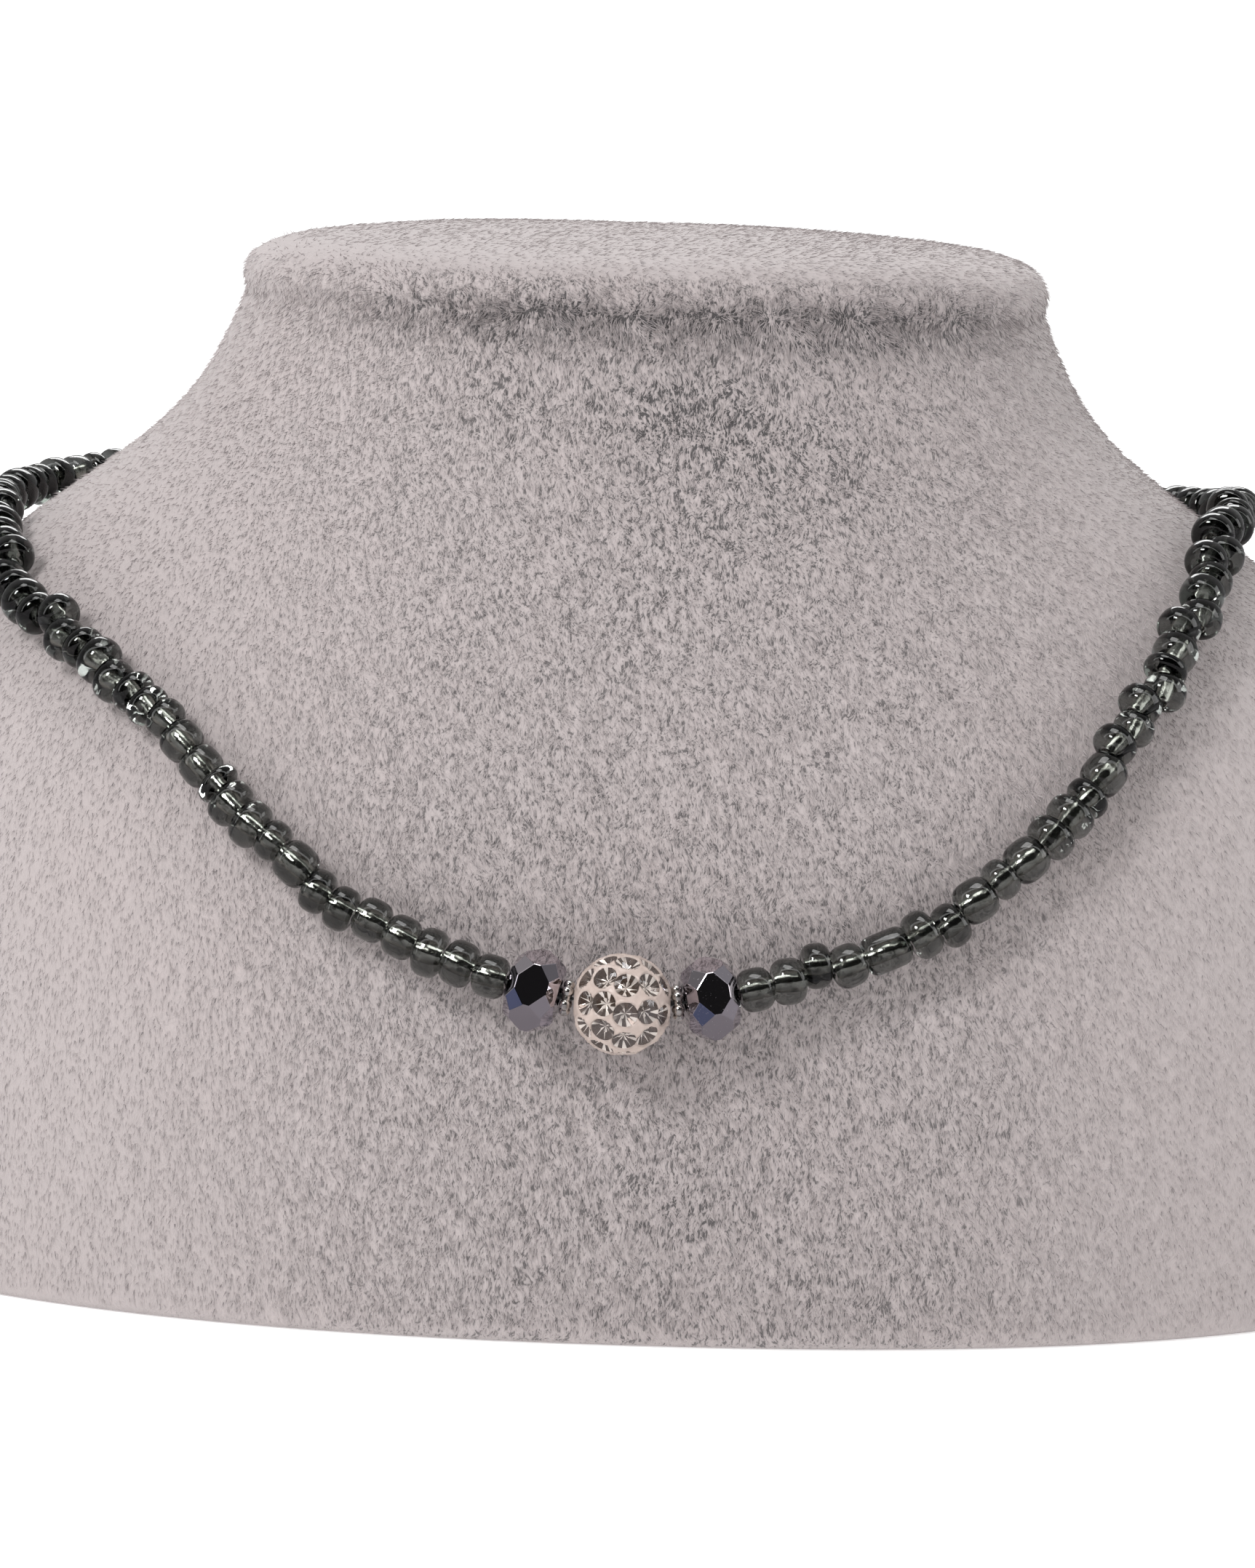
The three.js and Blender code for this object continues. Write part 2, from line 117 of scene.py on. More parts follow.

# Clusters where the pile along the seam fans out, with painted shade at their base, in millimetres
SEAM_CLUSTERS = table(
    "x above wide depth",
    (-26, 1.3, 3.0, 0.30), (-11, 1.1, 4.5, 0.75), (-1.5, 1.1, 4.5, 0.70),
    (7.5, 0.9, 4.0, 0.80), (13, 0.8, 4.0, 0.80), (21, 0.9, 4.5, 0.95),
    (31, 0.9, 4.0, 0.70),
)

# Tones of the pile: tufts to a square metre where it is thickest, how far each tone keeps to the
# ruffled places, how it gathers on crests (or in the gaps, if negative), its seed and its colour;
# the dark tone, and in part the mid tone, are painted shade gathered in the gaps
PILE_TONES = table(
    "name density kept crests seed tone",
    ("pile_pale", 2.9e6, 0.0, 6.0, 3, (0.405, 0.363, 0.362)),
    ("pile_light", 2.9e6, 0.0, 5.0, 5, (0.36, 0.323, 0.322)),
    ("pile_mid", 3.2e6, 0.85, -1.0, 8, (0.30, 0.268, 0.268)),
    # Painted shade: dark tufts in the gaps between crests
    ("pile_dark", 3.2e6, 1.0, -5.0, 13, (0.185, 0.167, 0.170)),
)

# Kinds of bead in millimetres and degrees: across is the shift towards the neck, lean the tilt,
# shade how deep the smoke of the glass is
BEADS = table(
    "kind diameter length across lean shade",
    ("r", 4.3, 3.4, 0.0, 3, 0.35),
    ("w", 4.6, 3.3, 0.1, -4, 0.45),
    ("W", 4.9, 3.0, -0.1, 5, 0.40),
    ("l", 4.4, 3.9, 0.0, -3, 0.30),
    ("s", 4.2, 2.7, 0.2, 6, 0.50),
    ("f", 4.5, 2.3, -0.2, -6, 0.60),
    ("t", 4.5, 1.8, 0.2, 4, 0.70),
    ("d", 4.5, 2.9, -0.7, 7, 0.75),
    ("u", 4.5, 2.8, 0.9, -7, 0.80),
    ("T", 4.0, 4.7, 0.0, 0, 0.30),
)
TUBE_KIND = "T"
SHORTEST_KIND = "t"

# Order of the beads from the crystals outwards: as seen in front, then plain to the clasp
BEAD_ORDER = {
    "left": {"seen": "rwWrrddlsWWtrrsffdWfdufWfdusfWfudfsf", "hidden": "rwsfWrfs"},
    "right": {"seen": "rwurTWdlslWWflusudtwudwfuduwdfusfWfd", "hidden": "wrfsWfrs"},
}

# How much each crystal's mirror is speckled, as seen in front
SPECKLED = {"left": 0.05, "right": 0.5}

# What the small turns and shades of each string's beads are drawn by
SPIN_SEEDS = {"left": 21, "right": 22}


class Side(Enum):
    """The two sides of the necklace, as the picture has them."""

    LEFT = "left"
    RIGHT = "right"

    @property
    def way(self) -> int:
        """Sign of distances along the route on this side."""
        return -1 if self is Side.LEFT else 1


def read_table(rows: Sequence[dict[str, float]], column: str, key: float) -> float:
    """Reads a table smoothly between its rows.

    Args:
        rows: the table, with its keys rising in the first column.
        column: the column to read.
        key: where to read it.

    Returns:
        The value on a smooth curve through the rows.
    """
    key_name = next(iter(rows[0]))
    keys = [row[key_name] for row in rows]
    values = [row[column] for row in rows]
    at = min(max(bisect_left(keys, key) - 1, 0), len(rows) - 2)

    def slope(index: int) -> float:
        """Slope of the curve at a row."""
        before, after = max(index - 1, 0), min(index + 1, len(rows) - 1)
        return (values[after] - values[before]) / (keys[after] - keys[before])

    span = keys[at + 1] - keys[at]
    t = (key - keys[at]) / span
    square, cube = t * t, t * t * t
    return (
        (2 * cube - 3 * square + 1) * values[at]
        + (cube - 2 * square + t) * span * slope(at)
        + (3 * square - 2 * cube) * values[at + 1]
        + (cube - square) * span * slope(at + 1)
    )


def hill(value: Any, middle: float, reach: float, power: int = 2) -> Any:
    """A smooth hill, 1 at its middle and a third at its reach, with a flat top at power 4."""
    return np.exp(-(((value - middle) / reach) ** power))


class Shade:
    """A socket in an expression: each operator adds the Math node that it stands for."""

    def __init__(self, graph: "Graph", socket: NodeSocket) -> None:
        """Wraps a socket of a graph."""
        self.graph = graph
        self.socket = socket

    def _math(self, operation: str, first: Any, second: Any) -> "Shade":
        """Adds one Math node and takes its result."""
        return self.graph.out("ShaderNodeMath", {"operation": operation}, {0: first, 1: second})

    def __add__(self, other: Any) -> "Shade":
        """This plus another."""
        return self._math("ADD", self, other)

    __radd__ = __add__

    def __sub__(self, other: Any) -> "Shade":
        """This less another."""
        return self._math("SUBTRACT", self, other)

    def __rsub__(self, other: Any) -> "Shade":
        """Another less this."""
        return self._math("SUBTRACT", other, self)

    def __mul__(self, other: Any) -> "Shade":
        """This times another."""
        return self._math("MULTIPLY", self, other)

    __rmul__ = __mul__

    def clamped(self) -> "Shade":
        """This held between 0 and 1."""
        return self._math("MINIMUM", self._math("MAXIMUM", self, 0.0), 1.0)


class Graph:
    """Adds nodes to one node tree."""

    def __init__(self, tree: NodeTree) -> None:
        """Takes an empty tree."""
        self.tree = tree

    def node(
        self,
        kind: str,
        settings: dict[str, Any] | None = None,
        sockets: dict[str | int, Any] | None = None,
    ) -> Node:
        """Adds any node.

        Args:
            kind: Blender's name for the node.
            settings: its own settings, set first.
            sockets: values or links of its inputs, by name or place.

        Returns:
            The node.
        """
        made = self.tree.nodes.new(kind)
        for name, value in (settings or {}).items():
            setattr(made, name, value)
        for name, value in (sockets or {}).items():
            self.feed(made.inputs[name], value)
        return made

    def out(
        self,
        kind: str,
        settings: dict[str, Any] | None = None,
        sockets: dict[str | int, Any] | None = None,
        output: str | int = 0,
    ) -> Shade:
        """Adds any node and takes one output of it."""
        return Shade(self, self.node(kind, settings, sockets).outputs[output])

    def feed(self, socket: NodeSocket, value: Any) -> None:
        """Sets or links one input.

        Args:
            socket: the input.
            value: a number, colour, socket or Shade.
        """
        if isinstance(value, Shade):
            value = value.socket
        if isinstance(value, NodeSocket):
            self.tree.links.new(value, socket)
        else:
            socket.default_value = value

    def vector(self, operation: str, first: Any, second: Any) -> Shade:
        """Adds a Vector Math node, whose second value is a number for SCALE."""
        place = "Scale" if operation == "SCALE" else 1
        return self.out("ShaderNodeVectorMath", {"operation": operation}, {0: first, place: second})

    def mist(self, vector: Any, scale: Any, detail: float) -> Shade:
        """A field of vectors that wanders round zero."""
        values = {"Vector": vector, "Scale": scale, "Detail": detail}
        return self.vector("SUBTRACT", self.out("ShaderNodeTexNoise", {}, values, 1), (0.5, 0.5, 0.5))


class Recipe(Graph):
    """A material's nodes round one Principled shader."""

    def __init__(self, name: str, **constants: Any) -> None:
        """Starts a material.

        Args:
            name: the material's name.
            constants: values that are the same all over, by socket name with _ for each space.
        """
        self.material = bpy.data.materials.new(name)
        self.material.use_nodes = True
        super().__init__(self.material.node_tree)
        self.tree.nodes.clear()
        self.shader = self.node("ShaderNodeBsdfPrincipled")
        self.node("ShaderNodeOutputMaterial", {}, {"Surface": self.shader.outputs[0]})
        self.place = self.out("ShaderNodeTexCoord", output="Object")
        self.set(**constants)

    def noise(self, scale: float, detail: float, vector: Any = None) -> Shade:
        """Fractal noise from 0 to 1, by waves to a metre and octaves, over the piece or a vector."""
        values = {"Vector": self.place if vector is None else vector, "Scale": scale, "Detail": detail}
        return self.out("ShaderNodeTexNoise", {}, values)

    def stretched(
        self, size: Sequence[float], turn: Sequence[float] = (0, 0, 0), vector: Any = None
    ) -> Shade:
        """The piece's coordinates, or a vector, turned in radians and then stretched."""
        values = {"Vector": self.place if vector is None else vector, "Rotation": turn, "Scale": size}
        return self.out("ShaderNodeMapping", {}, values)

    def attribute(self, name: str) -> Shade:
        """A named number that the piece's mesh carries."""
        return self.out("ShaderNodeAttribute", {"attribute_name": name}, output="Fac")

    def mixed(self, factor: Any, first: Any, second: Any) -> Shade:
        """Mixes two colours, the second one by its share."""
        first, second = ((*c, 1.0) if isinstance(c, tuple) and len(c) == 3 else c for c in (first, second))
        return self.out("ShaderNodeMix", {"data_type": "RGBA"}, {0: factor, 6: first, 7: second}, 2)

    def set(self, **links: Any) -> None:
        """Sets or links inputs of the shader."""
        for socket, value in links.items():
            self.feed(self.shader.inputs[socket.replace("_", " ")], value)

    def bump(self, height: Any, depth: float, strength: float) -> None:
        """Bumps the surface by a height, so many metres deep from its 0 to its 1."""
        values = {"Height": height, "Distance": depth, "Strength": strength}
        self.set(Normal=self.out("ShaderNodeBump", {}, values))


class Grower(Graph):
    """A Geometry Nodes tree with named inputs, which ends in plain geometry and a material."""

    def __init__(self, name: str) -> None:
        """Starts a tree with a geometry input and output."""
        super().__init__(bpy.data.node_groups.new(name, "GeometryNodeTree"))
        self.identifiers: dict[str, str] = {}
        self.tree.interface.new_socket("Geometry", in_out="INPUT", socket_type="NodeSocketGeometry")
        self.tree.interface.new_socket("Geometry", in_out="OUTPUT", socket_type="NodeSocketGeometry")
        self.entry = self.node("NodeGroupInput")
        self.material = self.input("Material", "NodeSocketMaterial")

    @property
    def given(self) -> Shade:
        """The carrier's geometry."""
        return Shade(self, self.entry.outputs["Geometry"])

    def input(self, name: str, kind: str = "NodeSocketFloat") -> Shade:
        """Adds a named input.

        Args:
            name: what it is called.
            kind: Blender's socket type.

        Returns:
            The socket inside the tree.
        """
        made = self.tree.interface.new_socket(name, in_out="INPUT", socket_type=kind)
        self.identifiers[name] = made.identifier
        return Shade(self, self.entry.outputs[name])

    def carried(self, name: str, kind: str = "FLOAT") -> Shade:
        """A named attribute of the carrier mesh."""
        return self.out("GeometryNodeInputNamedAttribute", {"data_type": kind}, {"Name": name}, "Attribute")

    def finish(self, geometry: Shade) -> None:
        """Ends the tree in realized geometry with its material."""
        real = self.out("GeometryNodeRealizeInstances", {}, {"Geometry": geometry})
        dressed = self.out("GeometryNodeSetMaterial", {}, {"Geometry": real, "Material": self.material})
        self.node("NodeGroupOutput", {}, {0: dressed})

    def grow(self, carrier: Object, name: str, values: dict[str, Any]) -> Object:
        """Runs the tree on a carrier and keeps the result as a plain mesh.

        Args:
            carrier: the object whose mesh the tree reads.
            name: the new piece's name.
            values: the tree's inputs by name.

        Returns:
            The new piece.
        """
        modifier = carrier.modifiers.new(name, "NODES")
        modifier.node_group = self.tree
        for key, value in values.items():
            modifier[self.identifiers[key]] = value
        carrier.update_tag()
        graph = bpy.context.evaluated_depsgraph_get()
        mesh = bpy.data.meshes.new_from_object(carrier.evaluated_get(graph), depsgraph=graph)
        carrier.modifiers.remove(modifier)
        return linked(name, mesh)


def linked(name: str, data: ID, material: Material | None = None) -> Object:
    """Puts a mesh, light or camera in the scene.

    Args:
        name: the object's name.
        data: the mesh, light or camera.
        material: its material, if it gets one here.

    Returns:
        The object.
    """
    piece = bpy.data.objects.new(name, data)
    bpy.context.scene.collection.objects.link(piece)
    if material is not None:
        data.materials.append(material)
    return piece


def shaped(name: str, work: BMesh, smooth: bool = True) -> Mesh:
    """Turns finished mesh work into a mesh with its faces out.

    Args:
        name: the mesh's name.
        work: the mesh work, which is freed.
        smooth: whether its faces are shaded smooth.

    Returns:
        The mesh.
    """
    bmesh.ops.recalc_face_normals(work, faces=work.faces)
    mesh = bpy.data.meshes.new(name)
    for face in work.faces:
        face.smooth = smooth
    work.to_mesh(mesh)
    work.free()
    return mesh


def carry(mesh: Mesh, name: str, kind: str, values: Any) -> None:
    """Gives a mesh a named value at each vertex.

    Args:
        mesh: the mesh.
        name: what the value is called.
        kind: Blender's name for its type.
        values: one value or one row for each vertex.
    """
    made = mesh.attributes.new(name, kind, "POINT")
    number = np.int32 if kind == "INT" else np.float32
    key = "vector" if kind == "FLOAT_VECTOR" else "value"
    made.data.foreach_set(key, np.asarray(values, dtype=number).ravel())


def point_carrier(points: Sequence[Vector], turns: list, sizes: list, kinds: list[int]) -> Object:
    """Makes a mesh of lone points that shapes are put on.

    Args:
        points: the places.
        turns: a quaternion for each.
        sizes: a size along each axis for each.
        kinds: which shape each one gets.

    Returns:
        The helper object.
    """
    mesh = bpy.data.meshes.new("places")
    mesh.from_pydata(points, [], [])
    carry(mesh, "turn", "QUATERNION", turns)
    carry(mesh, "size", "FLOAT_VECTOR", sizes)
    carry(mesh, "kind", "INT", kinds)
    return linked("places", mesh)


def strewn(name: str, carrier: Object, shapes: Sequence[Object], material: Material) -> Object:
    """Puts shapes on a carrier's points, each picked, turned and sized as its point says.

    Args:
        name: the new piece's name.
        carrier: the points.
        shapes: the shape of each kind.
        material: the finish.

    Returns:
        The new piece.
    """
    tree = Grower(name)
    bunch = tree.node("GeometryNodeJoinGeometry")
    inputs = {f"Shape {kind}": shape for kind, shape in enumerate(shapes)}
    for label in reversed(inputs):
        values = {"Object": tree.input(label, "NodeSocketObject"), "As Instance": True}
        tree.feed(bunch.inputs[0], tree.out("GeometryNodeObjectInfo", {}, values, "Geometry"))
    values = {
        "Points": tree.given,
        "Instance": bunch.outputs[0],
        "Pick Instance": True,
        "Instance Index": tree.carried("kind", "INT"),
        "Rotation": tree.carried("turn", "QUATERNION"),
        "Scale": tree.carried("size", "FLOAT_VECTOR"),
    }
    tree.finish(tree.out("GeometryNodeInstanceOnPoints", {}, values))
    return tree.grow(carrier, name, {"Material": material, **inputs})


def discard(objects: Iterable[Object]) -> None:
    """Removes helper objects."""
    for helper in objects:
        bpy.data.objects.remove(helper)


def declare(piece: Object, slot: str, *nodes: str) -> None:
    """Puts a piece on the body and hides the frame's nodes that it stands for.

    Args:
        piece: the finished piece.
        slot: not used.
        nodes: the frame's nodes that it stands for.
    """
    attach(piece, BODY)
    if nodes:
        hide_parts(*nodes)
    LOG.info("%s: %d faces", piece.name, len(piece.data.polygons))


def circle(work: BMesh, along: float, radius: float, sides: int) -> list[BMVert]:
    """Adds a circle of corners round X, at a place along it."""
    angles = [2 * math.pi * side / sides for side in range(sides)]
    return [work.verts.new((along, radius * math.cos(a), radius * math.sin(a))) for a in angles]


def bridge(work: BMesh, ring: list, after: list) -> None:
    """Joins two rings of as many corners by a band of faces."""
    for side, nxt in enumerate([*range(1, len(ring)), 0]):
        work.faces.new((ring[side], ring[nxt], after[nxt], after[side]))


def lathe(profile: Sequence[tuple[float, float]], sides: int) -> BMesh:
    """Turns a closed section round X.

    Args:
        profile: place along X and radius of each corner of the section, with none on the axis.
        sides: faces round the axis.

    Returns:
        The mesh work of a ring closed both ways.
    """
    work = bmesh.new()
    rings = [circle(work, along, radius, sides) for along, radius in profile]
    for ring, after in zip(rings, rings[1:] + rings[:1]):
        bridge(work, ring, after)
    return work


@dataclass
class NeckForm:
    """The padded neck form: its surface and its soft body under the plush."""

    seam_height: float = 97.8 * MM
    pad_height: float = 7.9 * MM
    neck_half_width: float = 41.9 * MM
    neck_front: float = 30 * MM
    neck_back: float = 30 * MM
    foot_half_width: float = 90 * MM
    foot_front: float = 57 * MM
    foot_back: float = 43 * MM
    foot_round: float = 1.5 * MM
    squareness: float = 2.25
    sides: int = 240
    body_rows: int = 110
    rows_a_step: int = 5
    backing_depth: float = 0.4 * MM
    seam_groove: float = 0.4 * MM
    seam_reach: float = 1.0 * MM
    opened_reach: float = 36 * MM
    swell: float = 0.35 * MM
    swells: float = 45
    pucker: float = 0.45 * MM
    puckers: float = 160

    def oval_point(self, turn: float, height: float, size: Sequence[float]) -> Vector:
        """A point of an oval ring.

        Args:
            turn: radians from the front, to the right.
            height: its height.
            size: half width, front reach and back reach.

        Returns:
            The point.
        """
        side, face = math.sin(turn), math.cos(turn)
        power = 2 / self.squareness
        depth = size[1] if face > 0 else size[2]
        return Vector((
            math.copysign(size[0] * abs(side) ** power, side),
            -math.copysign(depth * abs(face) ** power, face),
            height,
        ))

    def body_size(self, height: float) -> tuple[float, float, float]:
        """Half width, front reach and back reach of the body at a height."""
        share = height / self.seam_height
        flank = read_table(FORM_PROFILE, "flank", share)
        face = read_table(FORM_PROFILE, "face", share)
        return (
            self.neck_half_width + (self.foot_half_width - self.neck_half_width) * flank,
            self.neck_front + (self.foot_front - self.neck_front) * face,
            self.neck_back + (self.foot_back - self.neck_back) * face,
        )

    def body_point(self, turn: float, height: float) -> Vector:
        """Point on the body at a turn in radians and a height."""
        return self.oval_point(turn, height, self.body_size(height))

    def body_normal(self, turn: float, height: float) -> Vector:
        """Outward direction of the body at a turn in radians and a height."""
        turn_step = 0.002
        height_step = self.seam_height / 2000
        along = self.body_point(turn + turn_step, height) - self.body_point(turn - turn_step, height)
        upward = self.body_point(turn, height + height_step) - self.body_point(turn, height - height_step)
        return along.cross(upward).normalized()

    def _ring_sizes(self) -> list[tuple[float, tuple[float, float, float]]]:
        """Height and size of each ring of the backing, foot to crown."""
        rings = []
        shrink = self.backing_depth
        for step in range(4):
            share = step / 4
            angle = share * math.pi / 2
            inset = self.foot_round * (1 - math.sin(angle)) + shrink
            size = self.body_size(0)
            rings.append((self.foot_round * (1 - math.cos(angle)), tuple(s - inset for s in size)))
        for row in range(self.body_rows + 1):
            share = row / self.body_rows
            height = self.foot_round + share * (self.seam_height - self.foot_round)
            rings.append((height, tuple(s - shrink for s in self.body_size(height))))
        steps = (len(PAD_PROFILE) - 1) * self.rows_a_step
        neck = (self.neck_half_width, self.neck_front, self.neck_back)
        for index in range(1, steps):
            at = index / self.rows_a_step
            rise = read_table(PAD_PROFILE, "rise", at)
            spread = read_table(PAD_PROFILE, "spread", at)
            height = self.seam_height + rise * (self.pad_height - shrink)
            rings.append((height, tuple(max(s * spread - shrink, 0.2 * MM) for s in neck)))
        return rings

    def build_backing(self, material: Material) -> Object:
        """Makes the soft body that the pile grows from.

        Args:
            material: the backing's finish.

        Returns:
            The piece.
        """
        work = bmesh.new()
        turns = [2 * math.pi * side / self.sides for side in range(self.sides)]
        rings = []
        for height, size in self._ring_sizes():
            rings.append([work.verts.new(self.oval_point(turn, height, size)) for turn in turns])
        foot = work.verts.new((0, 0, 0))
        crown = work.verts.new((0, 0, self.seam_height + self.pad_height - self.backing_depth))
        for side in range(self.sides):
            nxt = (side + 1) % self.sides
            work.faces.new((foot, rings[0][nxt], rings[0][side]))
            work.faces.new((crown, rings[-1][side], rings[-1][nxt]))
            for ring, after in zip(rings, rings[1:]):
                work.faces.new((ring[side], ring[nxt], after[nxt], after[side]))
        self._soften(work)
        return linked("neck_form", shaped("neck_form", work), material)

    def _soften(self, work: BMesh) -> None:
        """Gives the padding the faint unevenness of foam under cloth, and the seam its fold and puckers."""
        work.normal_update()
        for vert in work.verts:
            if vert.co.z < 2 * self.foot_round:
                continue
            above = (vert.co.z - self.seam_height) / self.seam_reach
            opened = hill(vert.co.x, 0, self.opened_reach, 4) if vert.normal.y < 0 else 0.0
            low = noise.noise(vert.co * self.swells)
            tuck = noise.noise(vert.co * self.puckers) * self.pucker * hill(above, 0, 2.5) * (0.3 + opened)
            fold = self.seam_groove * hill(above, 0.4, 1) * (0.15 + 0.85 * opened)
            vert.co += vert.normal * (low * self.swell + tuck - fold)


@dataclass(frozen=True)
class Combing:
    """How the plush lies, in millimetres to the right of the front's middle and above the seam."""

    tufted_middle: float = 6
    tufted_reach: float = 44
    seam_middle: float = 4
    seam_reach: float = 36
    seam_height: float = 2.6
    seam_line: float = 0.6
    fan_height: float = 3.2
    cluster_height: float = 1.3
    cluster_share: float = 0.55
    least_slope: float = 0.15

    def write(self, mesh: Mesh, seam_height: float) -> None:
        """Writes on the backing how its pile lies, how ruffled, thick and long it is, and how much painted
        shade its colour gets.

        Args:
            mesh: the backing's mesh.
            seam_height: height of the seam.
        """
        place, normal = (self._vectors(mesh, name) for name in ("co", "normal"))
        x, z = place[:, 0] / MM, place[:, 2] / MM
        above = z - seam_height / MM
        down = np.array((0.0, 0.0, -1.0)) + normal * normal[:, 2:]
        length = np.linalg.norm(down, axis=1, keepdims=True)
        down = np.where(length > self.least_slope, down / np.maximum(length, self.least_slope), 0.0)
        front = np.clip(-1.4 * normal[:, 1], 0, 1)
        middle = hill(x, self.tufted_middle, self.tufted_reach, 4) * front
        near_seam = hill(above, 0, self.seam_height) * (np.abs(normal[:, 2]) < 0.8)
        tufted = near_seam * hill(x, self.seam_middle, self.seam_reach, 4) * front
        flat_top = np.clip(3 * normal[:, 2] - 2, 0, 1)
        smooth = 1 - middle

        lift = 0.85 - 0.5 * smooth + 0.1 * tufted - 0.3 * flat_top
        lie = normal * lift[:, None] + down * (0.7 * (1 - tufted))[:, None]
        lie -= down * (np.sign(above - self.seam_line) * tufted * 0.7)[:, None]
        lie += self._fans(x, above, front)
        lie += flat_top[:, None] * np.array((0.9, 0.1, 0.0))
        # Painted shade for the backing's colour: the seam, the shadow under its fringe and darker patches,
        # none on the flat top
        painted_shade = self._painted_shade_mask(x, above, front) * (1 - flat_top)
        foot = np.clip(z - 1.0, 0, 1)
        carry(mesh, "lie", "FLOAT_VECTOR", lie)
        carry(mesh, "ruffle", "FLOAT", 0.05 + 0.95 * middle * (1 - flat_top) + 0.4 * tufted)
        carry(mesh, "room", "FLOAT", (0.5 + 0.5 * front + 0.9 * tufted) * foot)
        carry(mesh, "tall", "FLOAT", 0.85 + 0.2 * middle + 0.6 * tufted)
        carry(mesh, "painted_shade", "FLOAT", painted_shade)
        carry(mesh, "flat_top", "FLOAT", flat_top)

    @staticmethod
    def _vectors(mesh: Mesh, name: str) -> np.ndarray:
        """Reads one vector from every vertex of a mesh."""
        rows = np.empty(len(mesh.vertices) * 3, np.float32)
        mesh.vertices.foreach_get(name, rows)
        return rows.reshape(-1, 3).astype(float)

    def _fans(self, x: np.ndarray, above: np.ndarray, front: np.ndarray) -> np.ndarray:
        """How the pile fans out round the seam's clusters.

        Args:
            x: millimetres to the right of the middle.
            above: millimetres above the seam.
            front: 1 where the surface faces the front.

        Returns:
            What is added to the way that it lies.
        """
        total = np.zeros((len(x), 3))
        for row in SEAM_CLUSTERS:
            right, rise = x - row["x"], above - row["above"]
            away = np.sqrt(right**2 + rise**2) + 0.3
            near = hill(right, 0, row["wide"]) * hill(rise, 0, self.fan_height)
            share = near * front * (0.4 + row["depth"])
            total += np.stack((right / away, np.zeros_like(x), rise / away), axis=1) * share[:, None]
        return total

    def _painted_shade_mask(self, x: np.ndarray, above: np.ndarray, front: np.ndarray) -> np.ndarray:
        """How much painted shade the pile's colour gets: along the seam, as a painted shadow in the fold
        under it, and in darker patches.

        Args:
            x: millimetres to the right of the middle.
            above: millimetres above the seam.
            front: 1 where the surface faces the front.

        Returns:
            From 0 to about 1.
        """
        seam = hill(above, self.seam_line, 1.1) * hill(x, 5, 31, 4)
        # Painted shadow in the fold under the seam's fringe
        fold = hill(above, -1.7, 0.5) * hill(x, 18.5, 9, 4)
        total = 0.5 * seam + 0.8 * fold
        for row in SEAM_CLUSTERS:
            across = hill(x, row["x"], self.cluster_share * row["wide"])
            total = total + row["depth"] * across * hill(above, row["above"], self.cluster_height)
        # Patches where the pile is painted darker
        for row in DARK_PATCHES:
            across = hill(x, row["x"], row["wide"])
            total = total + row["depth"] * across * hill(above, -row["below"], row["tall"])
        return total * front


